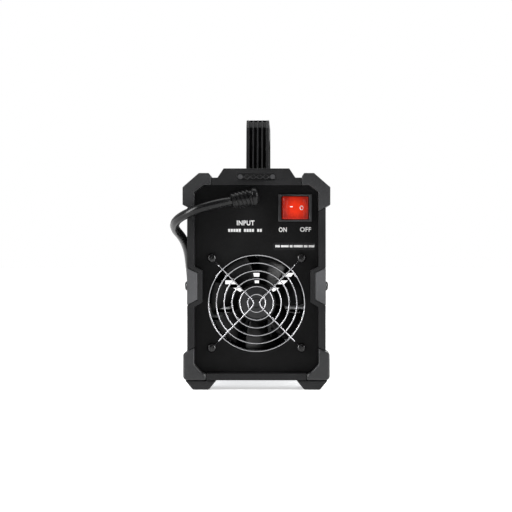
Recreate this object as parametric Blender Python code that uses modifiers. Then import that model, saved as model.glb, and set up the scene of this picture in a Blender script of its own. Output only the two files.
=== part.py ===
"""Stick welding inverter: a steel case between two moulded end frames, with its fan, switch, lead and works.

Sizes are in millimetres and become metres where a mesh is made. +X is to the right of someone who looks at
the rear, the rear faces -Y, +Z is up, and the feet stand on Z = 0.
"""
from math import ceil, cos, pi, radians, sin

import bmesh
import bpy
from mathutils import Matrix, Vector

MM = 0.001
GAP = 0.3                      # clearance between touching pieces
REAR, FRONT = -1, 1            # the end of the case that a piece belongs to, as the sign of its Y
LEFT, RIGHT = -1, 1            # the side of the case, as the sign of its X
END_NAMES = {REAR: "rear", FRONT: "front"}
SIDE_NAMES = {LEFT: "left", RIGHT: "right"}

# Case
GUARD_FACE = 140.0             # corner guards' outer faces, from the middle of the case
FRAME_FACE = 139.5             # end frames' outer faces
FRAME_BACK = 105.0             # where an end frame's outer wall stops
TONGUE_END = 97.0              # end of the tongue that the steel cover slides over
TONGUE_LAP = 0.5
PANEL_FACE = {REAR: 128.0, FRONT: 118.0}
PANEL_SHEET = 1.5
COVER_SHEET = 1.2
COVER_SIDE = 61.5
COVER_TOP = 191.0
COVER_LOW = 11.6
CASE_BASE = 8.7                # underside of the end frames
OPENING_LOW, OPENING_HIGH = 14.9, 187.1
OPENING_SIDE = 56.7
PANEL_REBATE = 1.2
POCKET_LAP = 0.2               # how far a guard's pocket runs past the panel's face
GUARD_BACK = 100.0
FOOT_NEAR, FOOT_FAR = 102.0, 138.0
CLIP_SCREW_Z = 94.8

# Fan and its guard
FAN_Z = 78.9
FAN_SIZE, FAN_DEPTH = 92.0, 25.0
FAN_PITCH = 41.25              # screw holes, from the fan's axis
FAN_BORE = 44.6
FAN_HUB = 19.0
FAN_BLADES = 7
FAN_FACE = -(PANEL_FACE[REAR] - PANEL_SHEET - GAP)
FAN_ORIGIN = (0.0, FAN_FACE + FAN_DEPTH / 2, FAN_Z)
PANEL_FAN_HOLE = 44.2
GUARD_WIRE = 0.8
GUARD_RINGS = 6
GUARD_INNER, GUARD_OUTER = 8.2, 44.2
GUARD_RING_Y = -132.2
GUARD_SPOKE_Y = -133.6
GUARD_APEX = 2.9
EYELET = 3.3
EYELET_Y = -(PANEL_FACE[REAR] + GAP + GUARD_WIRE)

# Mains switch
SWITCH_X, SWITCH_Z = 35.4, 166.4
SWITCH_FLANGE = (31.0, 25.0)
SWITCH_BODY = (27.0, 23.0)
SWITCH_WELL = (25.2, 21.6)
SWITCH_FACE = -131.0
SWITCH_BACK = -108.0
SWITCH_WELL_BACK = -117.0
ROCKER_PIVOT = (SWITCH_X, -130.0, SWITCH_Z)
ROCKER_HEIGHT = 20.8
ROCKER_TILT = radians(10.0)    # either way from the middle

# Mains lead
LEAD_R = 4.25
LEAD_START = 1.5               # the lead's first point, ahead of the strain relief's tip
GRIP_X, GRIP_Z = -5.5, 175.6
GRIP_NECK_R = 5.7
GRIP_BEND = 9.5                # radius of the boot's elbow
GRIP_TURN = radians(50.0)
GRIP_ELBOW_Y = -129.8
GRIP_SLEEVE = 14.0             # the boot's straight stretch
GRIP_DROP = 3.0
GRIP_RADII = (9.2, 6.2)        # at the panel and at the tip
COIL_X, COIL_Y = -8.0, 205.0
COIL_COLUMNS = (41.75, 50.25)  # radii of the lead's centre in the coil
COIL_LAYERS = 3
COIL_BASE = 0.2
PLUG_R = 20.6

# Carry handle
HANDLE_HALF_WIDTH = 10.8
HANDLE_TOP = 253.5
HANDLE_FOOT_Y = 84.0
HANDLE_RIBS = 3
HANDLE_GROOVE = 2.4             # depth of the channel in the handle's top
HANDLE_RIB, HANDLE_CHEEK = 1.3, 2.9

# Front controls
KNOB_Z, KNOB_R = 128.0, 16.5
DISPLAY_Z, DISPLAY_HALF = 164.0, (26.0, 9.0)
LAMP_X, LAMP_Z, LAMP_R = 41.0, 164.0, 2.4
SOCKET_X, SOCKET_Z = 28.0, 46.0
SOCKET_BORE = 4.75

BOARD_LOW, BOARD_SHEET = 20.0, 1.6

# Colour, roughness and metallic value of each finish
FINISHES = {
    "frame_plastic": ((0.045, 0.046, 0.049), 0.50, 0.0),
    "guard_plastic": ((0.055, 0.056, 0.060), 0.45, 0.0),
    "clip_plastic": ((0.160, 0.162, 0.168), 0.45, 0.0),
    "foot_rubber": ((0.030, 0.030, 0.032), 0.75, 0.0),
    "powder_coat": ((0.009, 0.009, 0.011), 0.55, 0.0),
    "zinc_steel": ((0.560, 0.570, 0.580), 0.35, 1.0),
    "chrome_wire": ((0.800, 0.800, 0.810), 0.12, 1.0),
    "black_screw": ((0.020, 0.020, 0.022), 0.28, 0.6),
    "fan_plastic": ((0.012, 0.012, 0.013), 0.38, 0.0),
    "switch_plastic": ((0.035, 0.035, 0.037), 0.40, 0.0),
    "rocker_red": ((0.800, 0.045, 0.010), 0.22, 0.0),
    "lead_rubber": ((0.016, 0.016, 0.017), 0.60, 0.0),
    "handle_plastic": ((0.035, 0.036, 0.038), 0.48, 0.0),
    "knob_plastic": ((0.025, 0.025, 0.027), 0.42, 0.0),
    "display_plastic": ((0.030, 0.006, 0.006), 0.10, 0.0),
    "lamp_amber": ((0.850, 0.320, 0.020), 0.20, 0.0),
    "brass": ((0.720, 0.500, 0.180), 0.25, 1.0),
    "board_laminate": ((0.020, 0.130, 0.050), 0.50, 0.0),
    "aluminium": ((0.760, 0.770, 0.780), 0.40, 1.0),
    "ferrite": ((0.050, 0.050, 0.055), 0.60, 0.0),
    "capacitor_sleeve": ((0.020, 0.030, 0.080), 0.35, 0.0),
    "copper": ((0.720, 0.300, 0.150), 0.30, 1.0),
}

# The lead's route where it isn't coiled, from the strain relief's tip round the left side to the coil
LEAD_ROUTE = [
    (-19.6, -146.1, 172.6),
    (-30.1, -151.2, 170.6),
    (-41.6, -153.3, 167.8),
    (-53.3, -151.6, 164.2),
    (-64.3, -145.1, 160.0),
    (-72.2, -134.6, 155.6),
    (-75.9, -121.4, 151.0),
    (-75.5, -107.0, 146.4),
    (-72.1, -92.0, 141.3),
    (-69.0, -77.5, 134.5),
    (-67.0, -61.5, 124.8),
    (-66.3, -43.0, 111.0),
    (-66.2, -22.0, 92.5),
    (-66.2, 0.0, 72.0),
    (-66.2, 22.0, 51.0),
    (-66.3, 43.0, 31.5),
    (-66.9, 62.0, 17.0),
    (-68.2, 80.0, 8.0),
    (-69.8, 98, 4.6),
    (-70.6, 115, 4.4),
    (-70.3, 131, 4.4),
    (-67.8, 146.5, 4.4),
    (-62.9, 161, 4.4),
    (-59.0, 175.2, 4.4),
]

# ---------------------------------------------------------------- scene and helpers

PLANES = {                     # turns a flat outline's own X, Y and Z to the case's axes
    "X": Matrix(((0, 0, 1, 0), (1, 0, 0, 0), (0, 1, 0, 0), (0, 0, 0, 1))),
    "Y": Matrix.Rotation(pi / 2, 4, "X"),
    "Z": Matrix.Identity(4),
}
TURNS = {                      # points a turned piece's own +Z along an axis of the case
    "+X": Matrix.Rotation(pi / 2, 4, "Y"),
    "-X": Matrix.Rotation(-pi / 2, 4, "Y"),
    "+Y": Matrix.Rotation(-pi / 2, 4, "X"),
    "-Y": Matrix.Rotation(pi / 2, 4, "X"),
    "+Z": Matrix.Identity(4),
    "-Z": Matrix.Rotation(pi, 4, "X"),
}


def clear_scene():
    for item in list(bpy.data.objects):
        bpy.data.objects.remove(item)


def new_collection(name):
    collection = bpy.data.collections.new(name)
    bpy.context.scene.collection.children.link(collection)
    return collection


clear_scene()
PARTS = new_collection("stick_welding_inverter")
CUTTERS = new_collection("cutters")


def finish_material(name):
    """The finish's material, made the first time it is asked for."""
    if name in bpy.data.materials:
        return bpy.data.materials[name]
    colour, roughness, metallic = FINISHES[name]
    made = bpy.data.materials.new(name)
    made.use_nodes = True
    shader = made.node_tree.nodes["Principled BSDF"]
    shader.inputs["Base Color"].default_value = (*colour, 1)
    shader.inputs["Roughness"].default_value = roughness
    shader.inputs["Metallic"].default_value = metallic
    return made


def put(name, mesh, finish, at=(0, 0, 0), turn=None):
    """A mesh as a part with a finish, or as a cutter when it has none, at a place in millimetres."""
    item = bpy.data.objects.new(name, mesh)
    item.matrix_world = Matrix.Translation(Vector(at) * MM) @ (turn or Matrix.Identity(4))
    if finish:
        mesh.materials.append(finish_material(finish))
        PARTS.objects.link(item)
    else:
        as_cutter(item)
    return item


def as_cutter(item):
    for home in list(item.users_collection):
        home.objects.unlink(item)
    CUTTERS.objects.link(item)
    item.hide_render = True
    item.display_type = "WIRE"


def put_bmesh(name, bm, finish, at=(0, 0, 0), turn=None):
    mesh = bpy.data.meshes.new(name)
    bm.to_mesh(mesh)
    bm.free()
    return put(name, mesh, finish, at, turn)


def curve_mesh(name, curve, turn):
    """A curve's surface as a closed mesh, its loose caps welded."""
    guide = bpy.data.objects.new(name, curve)
    bpy.context.scene.collection.objects.link(guide)
    graph = bpy.context.evaluated_depsgraph_get()
    mesh = bpy.data.meshes.new_from_object(guide.evaluated_get(graph))
    bpy.data.objects.remove(guide)
    bm = bmesh.new()
    bm.from_mesh(mesh)
    bmesh.ops.remove_doubles(bm, verts=bm.verts, dist=1e-6)
    bm.to_mesh(mesh)
    bm.free()
    mesh.transform(turn)
    return mesh


def plate(name, outlines, low, high, finish=None, axis="Y", at=(0, 0, 0)):
    """Flat outlines, inner ones being holes, given thickness from low to high along an axis."""
    curve = bpy.data.curves.new(name, "CURVE")
    curve.dimensions = "2D"
    curve.fill_mode = "BOTH"
    curve.extrude = (high - low) / 2 * MM
    for outline in outlines:
        spline = curve.splines.new("POLY")
        spline.points.add(len(outline) - 1)
        for point, (across, up) in zip(spline.points, outline):
            point.co = (across * MM, up * MM, 0, 1)
        spline.use_cyclic_u = True
    middle = Vector([(low + high) / 2 * MM * (letter == axis) for letter in "XYZ"])
    return put(name, curve_mesh(name, curve, Matrix.Translation(middle) @ PLANES[axis]), finish, at)


def tube(name, paths, radius, finish=None, sides=8, closed=False, radii=None):
    """Round wire along each path."""
    curve = bpy.data.curves.new(name, "CURVE")
    curve.dimensions = "3D"
    curve.bevel_depth = radius * MM
    curve.bevel_resolution = sides // 2 - 2
    curve.use_fill_caps = not closed
    for path in paths:
        spline = curve.splines.new("POLY")
        spline.points.add(len(path) - 1)
        for number, (point, place) in enumerate(zip(spline.points, path)):
            point.co = (*(Vector(place) * MM), 1)
            point.radius = radii[number] if radii else 1.0
        spline.use_cyclic_u = closed
    return put(name, curve_mesh(name, curve, Matrix.Identity(4)), finish)


def block(name, low, high, finish=None):
    """A box between two corners."""
    low, high = Vector(low), Vector(high)
    bm = bmesh.new()
    size = Matrix.Diagonal((*((high - low) * MM), 1))
    bmesh.ops.create_cube(bm, size=1, matrix=Matrix.Translation((low + high) / 2 * MM) @ size)
    return put_bmesh(name, bm, finish)


def rod(name, radius, length, at, axis, finish=None, steps=24):
    """A cylinder that starts at a place and runs along an axis."""
    bm = bmesh.new()
    lift = Matrix.Translation((0, 0, length / 2 * MM))
    bmesh.ops.create_cone(bm, cap_ends=True, segments=steps, radius1=radius * MM, radius2=radius * MM,
                          depth=length * MM, matrix=lift)
    return put_bmesh(name, bm, finish, at, TURNS[axis])


def turned(name, profile, at, axis, finish=None, steps=24):
    """A turned piece: (radius, height) from its top down its outer side to its base."""
    mesh = bpy.data.meshes.new(name)
    points = [(radius * MM, 0, height * MM) for radius, height in profile]
    mesh.from_pydata(points, [(number, number + 1) for number in range(len(points) - 1)], [])
    item = put(name, mesh, finish, at, TURNS[axis])
    screw = item.modifiers.new("turn", "SCREW")
    screw.steps = steps
    screw.render_steps = steps
    screw.use_merge_vertices = True
    screw.merge_threshold = 1e-6
    return item


def boolean(item, other, operation):
    step = item.modifiers.new(operation.lower(), "BOOLEAN")
    step.operation = operation
    step.object = other
    return item


def cut(item, *cutters):
    for cutter in cutters:
        boolean(item, cutter, "DIFFERENCE")
    return item


def join(item, *others):
    for other in others:
        boolean(item, other, "UNION")
    return item


def grown(outline, gap):
    """An outline moved outwards by a gap, its corners kept sharp."""
    points = [Vector(point) for point in outline]
    area = sum(a.cross(b) for a, b in zip(points, points[1:] + points[:1]))
    side = 1 if area > 0 else -1
    moved = []
    for number, here in enumerate(points):
        before = (here - points[number - 1]).normalized()
        after = (points[(number + 1) % len(points)] - here).normalized()
        out = Vector((before.y + after.y, -before.x - after.x)) * side
        moved.append(here + out * gap / (out.length_squared / 2))
    return [tuple(point) for point in moved]


def both_sides(half):
    """A closed outline from its right half, whose points run from the bottom to the top."""
    return list(half) + [(-across, up) for across, up in reversed(half)]


def on_side(outline, side):
    """A right-hand outline as it is, or mirrored to the left."""
    return [(across * side, up) for across, up in outline]


def span(end, near, far):
    """A stretch of Y at one end of the case, in rising order."""
    return tuple(sorted((end * near, end * far)))


def ring(radius, centre, y, steps=28):
    """Points of a circle that faces along Y."""
    x, z = centre
    angles = [2 * pi * number / steps for number in range(steps)]
    return [(x + radius * cos(angle), y, z + radius * sin(angle)) for angle in angles]


def smooth_path(route, spacing):
    """Evenly spaced points of one smooth curve through a route's own points."""
    points = [Vector(place) for place in route]
    points = [2 * points[0] - points[1]] + points + [2 * points[-1] - points[-2]]
    fine = []
    for a, b, c, d in zip(points, points[1:], points[2:], points[3:]):
        for number in range(12):
            t = number / 12
            fine.append(((2 * b) + (c - a) * t + (2 * a - 5 * b + 4 * c - d) * t ** 2
                         + (3 * b - a - 3 * c + d) * t ** 3) / 2)
    fine.append(points[-2])
    lengths = [0.0]
    for here, there in zip(fine, fine[1:]):
        lengths.append(lengths[-1] + (there - here).length)
    count = ceil(lengths[-1] / spacing)
    even, reached = [], 0
    for number in range(count + 1):
        wanted = lengths[-1] * number / count
        while reached < len(fine) - 2 and lengths[reached + 1] < wanted:
            reached += 1
        share = (wanted - lengths[reached]) / (lengths[reached + 1] - lengths[reached])
        even.append(fine[reached].lerp(fine[reached + 1], min(share, 1.0)))
    return even


# ---------------------------------------------------------------- outlines, seen from the rear

FRAME_HALF = [(60.0, CASE_BASE), (63.3, 12.0), (63.3, 182.5), (51.0, 193.8), (35.6, 193.8), (30.0, 202.2)]
OPENING_HALF = [(49.0, OPENING_LOW), (OPENING_SIDE, 23.1), (OPENING_SIDE, 180.6), (48.0, OPENING_HIGH)]
WAIST = [(OPENING_SIDE, 75.4), (49.4, 80.0), (49.4, 109.0), (OPENING_SIDE, 112.6)]
WAISTED_HALF = OPENING_HALF[:2] + WAIST + OPENING_HALF[2:]
TONGUE_HALF = [(60.0, 11.3), (60.0, 180.8), (50.3, 189.4)]
UPPER_GUARD = [(67.5, 169.0), (67.5, 185.0), (52.6, 198.0), (43.6, 198.0), (41.5, 195.0), (41.5, 187.1),
               (48.0, 187.1), (OPENING_SIDE, 180.6), (OPENING_SIDE, 163.4)]
LOWER_GUARD = [(46.0, CASE_BASE), (64.8, CASE_BASE), (67.0, 10.9), (67.0, 33.2), (OPENING_SIDE, 38.3),
               (OPENING_SIDE, 23.1), (49.0, OPENING_LOW), (46.0, OPENING_LOW)]
CLIP = [(53.9, 82.5), (63.4, 77.4), (63.4, 111.1), (53.9, 106.7)]
CLIP_POCKET = [(53.5, 82.2), (65.0, 76.0), (65.0, 112.4), (53.5, 107.1)]
FOOT = [(43.6, 0), (58.1, 0), (65.2, CASE_BASE - GAP), (36.7, CASE_BASE - GAP)]


# ---------------------------------------------------------------- case

def stadium(half_length, radius, centre, steps=6):
    """A slot's outline with round ends."""
    x, z = centre
    outline = []
    for side in (RIGHT, LEFT):
        for number in range(steps + 1):
            angle = side * pi / 2 * (2 * number / steps - 1)
            outline.append((x + side * (half_length - radius) + side * radius * cos(angle),
                            z + radius * sin(angle)))
    return outline


def end_frame(end):
    """A moulded frame round one end of the case, with a tongue that slides into the steel cover."""
    name = END_NAMES[end] + "_end_frame"
    frame = plate(name, [both_sides(FRAME_HALF)], *span(end, FRAME_BACK, FRAME_FACE), "frame_plastic")
    tongue = plate(name + "_tongue", [both_sides(TONGUE_HALF)], *span(end, TONGUE_END, FRAME_BACK + TONGUE_LAP))
    opening = plate(name + "_opening", [both_sides(WAISTED_HALF)], *span(end, 90, 150))
    rebate = plate(name + "_rebate", [both_sides(grown_half(OPENING_HALF, PANEL_REBATE))],
                   *span(end, 90, PANEL_FACE[end] + GAP))
    join(frame, tongue)
    cut(frame, opening, rebate)
    for side in (LEFT, RIGHT):
        for place, outline in (("upper", UPPER_GUARD), ("lower", LOWER_GUARD)):
            pocket = f"{name}_{place}_{SIDE_NAMES[side]}_pocket"
            cut(frame, plate(pocket, [grown(on_side(outline, side), GAP)],
                             *span(end, PANEL_FACE[end] - POCKET_LAP, 150)))
        pocket = plate(f"{name}_{SIDE_NAMES[side]}_clip_pocket", [on_side(CLIP_POCKET, side)],
                       *span(end, PANEL_FACE[end] - POCKET_LAP, 150))
        cut(frame, pocket)
    cut(frame, plate(name + "_slot", [stadium(18.0, 3.2, (0, 194.7))], *span(end, 136.5, 150)))
    return frame


def grown_half(half, gap):
    """The right half of a whole outline that has been moved outwards."""
    whole = grown(both_sides(half), gap)
    return whole[:len(half)]


def corner_guard(end, side, place, outline):
    """A corner piece: a thick face in the end frame's pocket and a thin wall back over its outside."""
    name = f"{END_NAMES[end]}_{place}_guard_{SIDE_NAMES[side]}"
    guard = plate(name, [on_side(outline, side)], *span(end, GUARD_BACK, GUARD_FACE), "guard_plastic")
    inside = plate(name + "_inside", [grown(both_sides(FRAME_HALF), GAP)],
                   *span(end, 90, PANEL_FACE[end] + 2 * GAP))
    return cut(guard, inside)


def side_clip(end, side):
    """A wedge let into the end frame's side, held by one screw from outside."""
    name = f"{END_NAMES[end]}_clip_{SIDE_NAMES[side]}"
    back = PANEL_FACE[end] + 2 * GAP
    clip = plate(name, [on_side(CLIP, side)], *span(end, back, FRAME_FACE), "clip_plastic")
    hole_start = (side * 50.0, end * (back + FRAME_FACE) / 2, CLIP_SCREW_Z)
    return cut(clip, rod(name + "_hole", 1.9, 20.0, hole_start, "+X" if side == RIGHT else "-X", steps=12))


def clip_screw(end, side):
    """A low round head outside the clip and a short shank in it."""
    profile = [(0, 2.0), (2.6, 1.7), (4.3, 0.7), (4.5, 0), (1.5, 0), (1.5, -8.0), (0, -8.6)]
    middle = (PANEL_FACE[end] + 2 * GAP + FRAME_FACE) / 2
    place = (side * (63.4 + GAP), end * middle, CLIP_SCREW_Z)
    turned(f"{END_NAMES[end]}_clip_screw_{SIDE_NAMES[side]}", profile, place, "+X" if side == RIGHT else "-X",
           "black_screw", steps=12)


def foot(end, side):
    name = f"{END_NAMES[end]}_foot_{SIDE_NAMES[side]}"
    plate(name, [on_side(FOOT, side)], *span(end, FOOT_NEAR, FOOT_FAR), "foot_rubber")


def housing_cover():
    """The folded steel cover, open below, with louvre slots in both sides."""
    outer = [(COVER_SIDE, COVER_LOW), (COVER_SIDE, 181.5), (51.0, COVER_TOP)]
    inner = [(51.0 - 0.5, COVER_TOP - COVER_SHEET), (COVER_SIDE - COVER_SHEET, 181.0),
             (COVER_SIDE - COVER_SHEET, COVER_LOW)]
    outline = outer + [(-x, z) for x, z in reversed(outer)] + [(-x, z) for x, z in reversed(inner)] + inner
    reach = FRAME_BACK - GAP
    cover = plate("housing_cover", [outline], -reach, reach, "powder_coat")
    for column in (-52.0, 8.0):
        for row in range(6):
            low = 62.0 + 11.0 * row
            slot = block(f"louvre_{column:.0f}_{row}", (-80, column, low), (80, column + 44.0, low + 4.0))
            cut(cover, slot)
    for y in (-HANDLE_FOOT_Y + 9, HANDLE_FOOT_Y - 9):
        cut(cover, rod("handle_screw_hole", 2.6, 20, (0, y, 180), "+Z", steps=12))


def base_tray():
    """The steel floor, with low flanges inside the cover and four posts for the board."""
    inside = COVER_SIDE - COVER_SHEET - GAP
    outline = [(-inside, 9.6), (inside, 9.6), (inside, 24), (inside - 1.2, 24), (inside - 1.2, 10.8),
               (-inside + 1.2, 10.8), (-inside + 1.2, 24), (-inside, 24)]
    tray = plate("base_tray", [outline], -TONGUE_END + GAP, TONGUE_END - GAP, "zinc_steel")
    reach = FRAME_BACK - GAP
    join(tray, block("base_tray_ends", (-inside + 0.4, -reach, 9.7), (inside - 0.4, reach, 10.9)))
    for side in (LEFT, RIGHT):
        for y in (-80, 85):
            join(tray, rod("board_post", 3.5, BOARD_LOW - GAP - 10.2, (side * 46, y, 10.2), "+Z", steps=12))


def rear_panel():
    face = -PANEL_FACE[REAR]
    outline = both_sides(grown_half(OPENING_HALF, PANEL_REBATE - 0.2))
    panel = plate("rear_panel", [outline], face, face + PANEL_SHEET, "powder_coat")
    cut(panel, rod("panel_fan_hole", PANEL_FAN_HOLE, 8, (0, face - 4, FAN_Z), "+Y", steps=48))
    for place in fan_corners():
        cut(panel, rod("panel_screw_hole", 2.3, 8, (place[0], face - 4, place[1]), "+Y", steps=12))
    wide, high = (size / 2 + GAP for size in SWITCH_BODY)
    cut(panel, block("panel_switch_hole", (SWITCH_X - wide, face - 4, SWITCH_Z - high),
                     (SWITCH_X + wide, face + 4, SWITCH_Z + high)))
    cut(panel, rod("panel_grip_hole", GRIP_NECK_R + GAP, 8, (GRIP_X, face - 4, GRIP_Z), "+Y", steps=20))


def front_panel():
    face = PANEL_FACE[FRONT]
    outline = both_sides(grown_half(OPENING_HALF, PANEL_REBATE - 0.2))
    panel = plate("front_panel", [outline], face - PANEL_SHEET, face, "powder_coat")
    wide, high = DISPLAY_HALF
    cut(panel, block("panel_display_hole", (-wide + 2, face - 4, DISPLAY_Z - high + 2),
                     (wide - 2, face + 4, DISPLAY_Z + high - 2)))
    cut(panel, rod("panel_lamp_hole", LAMP_R + GAP, 8, (LAMP_X, face - 4, LAMP_Z), "+Y", steps=16))
    cut(panel, rod("panel_knob_hole", 3.9, 8, (0, face - 4, KNOB_Z), "+Y", steps=16))
    for side in (LEFT, RIGHT):
        hole = rod("panel_socket_hole", 13.8, 8, (side * SOCKET_X, face - 4, SOCKET_Z), "+Y", steps=32)
        cut(panel, hole)
    for row in range(4):
        low = 76.0 + 8.0 * row
        cut(panel, block(f"panel_vent_{row}", (-38, face - 4, low), (38, face + 4, low + 4.0)))


# ---------------------------------------------------------------- handle

def handle_side():
    """The handle's arch seen from the side, from foot to foot."""
    outer = [(-HANDLE_FOOT_Y, COVER_TOP), (-HANDLE_FOOT_Y + 6, 212.0), (-HANDLE_FOOT_Y + 11, HANDLE_TOP - 9),
             (-HANDLE_FOOT_Y + 19, HANDLE_TOP - 1.5), (-HANDLE_FOOT_Y + 30, HANDLE_TOP)]
    return outer + [(-y, z) for y, z in reversed(outer)]


def carry_handle():
    """A moulded arch over the case from rear to front, its outer face a channel with three ribs."""
    low = COVER_TOP + GAP
    outer = [(y, max(z, low)) for y, z in handle_side()]
    gap = [(HANDLE_FOOT_Y - 20, low), (HANDLE_FOOT_Y - 20, 226.5), (HANDLE_FOOT_Y - 26, 234.5),
           (HANDLE_FOOT_Y - 36, 237.5)]
    inner = gap + [(-y, z) for y, z in reversed(gap)]
    handle = plate("carry_handle", [outer + inner], -HANDLE_HALF_WIDTH, HANDLE_HALF_WIDTH,
                   "handle_plastic", axis="X")
    grooves = HANDLE_RIBS + 1
    inside = 2 * (HANDLE_HALF_WIDTH - HANDLE_CHEEK)
    groove = (inside - HANDLE_RIBS * HANDLE_RIB) / grooves
    for number in range(grooves):
        low_x = -inside / 2 + number * (groove + HANDLE_RIB)
        for side in (REAR, FRONT):
            channel = [(-100, 198.0), (-100, 260.0), (-50, 260.0), (-50, HANDLE_TOP - HANDLE_GROOVE),
                       (-HANDLE_FOOT_Y + 26, HANDLE_TOP - HANDLE_GROOVE),
                       (-HANDLE_FOOT_Y + 20, HANDLE_TOP - 8), (-HANDLE_FOOT_Y + 13, 198.0)]
            outline = [(-side * y, z) for y, z in channel]
            cut(handle, plate(f"handle_groove_{number}_{END_NAMES[side]}", [outline], low_x,
                              low_x + groove, axis="X"))
    for y in (-HANDLE_FOOT_Y + 9, HANDLE_FOOT_Y - 9):
        cut(handle, rod("handle_screw_bore", 2.3, 12, (0, y, low - 2), "+Z", steps=12))
    for end in (REAR, FRONT):
        place = (0, end * (HANDLE_FOOT_Y - 9), COVER_TOP - COVER_SHEET - GAP)
        profile = [(0, 8.6), (2.0, 8.0), (2.0, 0), (4.4, 0), (4.2, -1.6), (2.4, -2.4), (0, -2.6)]
        turned(f"handle_screw_{END_NAMES[end]}", profile, place, "+Z", "zinc_steel", steps=12)


# ---------------------------------------------------------------- fan

def fan_corners():
    """The fan's four screw places as X and Z."""
    return [(x * FAN_PITCH, FAN_Z + z * FAN_PITCH) for z in (-1, 1) for x in (-1, 1)]


def fan_frame():
    """A square moulded housing with a round duct, and four struts that carry the motor's mount."""
    half = FAN_SIZE / 2
    back = FAN_FACE + FAN_DEPTH
    frame = block("fan_frame", (-half, FAN_FACE, FAN_Z - half), (half, back, FAN_Z + half), "fan_plastic")
    cut(frame, rod("fan_duct", FAN_BORE, 40, (0, FAN_FACE - 5, FAN_Z), "+Y", steps=40))
    struts = []
    for number in range(4):
        angle = pi / 4 + number * pi / 2
        along = Vector((cos(angle), 0, sin(angle)))
        centre = Vector((0, back - 1.6, FAN_Z))
        struts.append([centre + along * 12, centre + along * 47])
    mount = rod("fan_mount", 17.0, 3.0, (0, back - 3.1, FAN_Z), "+Y", steps=24)
    join(mount, tube("fan_struts", struts, 1.4, sides=4))
    join(frame, mount)
    for x, z in fan_corners():
        cut(frame, rod("fan_screw_hole", 2.3, 40, (x, FAN_FACE - 5, z), "+Y", steps=12))


def fan_blades():
    """Seven thin twisted blades round the hub, as open sheets made solid."""
    bm = bmesh.new()
    across, outward = 3, 3
    for number in range(FAN_BLADES):
        start = 2 * pi * (number + 0.5) / FAN_BLADES + pi / 2 - radians(19.5)
        rows = []
        for u in range(across + 1):
            row = []
            for v in range(outward + 1):
                radius = FAN_HUB - 1.5 + (43.2 - FAN_HUB + 1.5) * v / outward
                angle = start + radians(39.0) * u / across + radians(5.0) * (v / outward) ** 2
                depth = -8.5 + 13.5 * u / across
                row.append(bm.verts.new(Vector((radius * cos(angle), depth, radius * sin(angle))) * MM))
            rows.append(row)
        for near, far in zip(rows, rows[1:]):
            for a, b, c, d in zip(near, near[1:], far[1:], far):
                bm.faces.new((a, b, c, d))
    blades = put_bmesh("fan_blades", bm, None, FAN_ORIGIN)
    wall = blades.modifiers.new("wall", "SOLIDIFY")
    wall.thickness = 1.3 * MM
    wall.offset = 0
    return blades


def fan_impeller():
    profile = [(0, 11.0), (FAN_HUB - 1.5, 11.0), (FAN_HUB, 9.5), (FAN_HUB, -8.0), (0, -8.0)]
    join(turned("fan_impeller", profile, FAN_ORIGIN, "-Y", "fan_plastic", steps=28), fan_blades())


def guard_spoke(side):
    """One V of guard wire: from a corner eyelet in to a rounded apex near the axis and out to the next."""
    corner = FAN_PITCH - EYELET * cos(pi / 4)
    flat = 34.0
    apex = GUARD_APEX
    arm = [(corner, EYELET_Y, corner), (corner - 3.0, EYELET_Y - 0.6, corner - 3.0),
           (flat, GUARD_SPOKE_Y, flat), (apex + 4.5, GUARD_SPOKE_Y, apex + 4.0),
           (apex + 1.3, GUARD_SPOKE_Y, 2.9)]
    lower = [(x, y, -z) for x, y, z in reversed(arm)]
    path = arm + [(apex, GUARD_SPOKE_Y, 0)] + lower
    return [(side * x, y, FAN_Z + z) for x, y, z in path]


def fan_guard():
    """Chrome wire guard: six rings, two V-shaped wires across them and an eyelet under each screw."""
    guard = tube("fan_guard", [guard_spoke(RIGHT)], GUARD_WIRE, "chrome_wire", sides=4)
    pitch = (GUARD_OUTER - GUARD_INNER) / (GUARD_RINGS - 1)
    rings = [ring(GUARD_INNER + pitch * number, (0, FAN_Z), GUARD_RING_Y) for number in range(GUARD_RINGS)]
    eyelets = [ring(EYELET, place, EYELET_Y, 12) for place in fan_corners()]
    join(guard, tube("guard_rings", rings, GUARD_WIRE, sides=4, closed=True),
         tube("guard_spoke", [guard_spoke(LEFT)], GUARD_WIRE, sides=4),
         tube("guard_eyelets", eyelets, GUARD_WIRE, sides=4, closed=True))


def fan_screws():
    """Pan-head screws that hold the guard and the fan to the rear panel."""
    names = ("lower_left", "lower_right", "upper_left", "upper_right")
    profile = [(0, 2.9), (2.4, 2.6), (3.9, 1.5), (4.25, 0), (1.9, 0), (1.9, -26.0), (0, -27.0)]
    for name, (x, z) in zip(names, fan_corners()):
        under_head = EYELET_Y - GUARD_WIRE - GAP
        turned("fan_screw_" + name, profile, (x, under_head, z), "-Y", "black_screw", steps=12)


# ---------------------------------------------------------------- mains switch

def switch_frame():
    """The switch's flange and body, with a well for the rocker."""
    wide, high = (size / 2 for size in SWITCH_FLANGE)
    flange = block("switch_frame", (SWITCH_X - wide, SWITCH_FACE, SWITCH_Z - high),
                   (SWITCH_X + wide, -PANEL_FACE[REAR] - GAP, SWITCH_Z + high), "switch_plastic")
    wide, high = (size / 2 for size in SWITCH_BODY)
    body = block("switch_body", (SWITCH_X - wide, SWITCH_FACE + 1, SWITCH_Z - high),
                 (SWITCH_X + wide, SWITCH_BACK, SWITCH_Z + high))
    wide, high = (size / 2 for size in SWITCH_WELL)
    well = block("switch_well", (SWITCH_X - wide, SWITCH_FACE - 5, SWITCH_Z - high),
                 (SWITCH_X + wide, SWITCH_WELL_BACK, SWITCH_Z + high))
    cut(join(flange, body), well)


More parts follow.
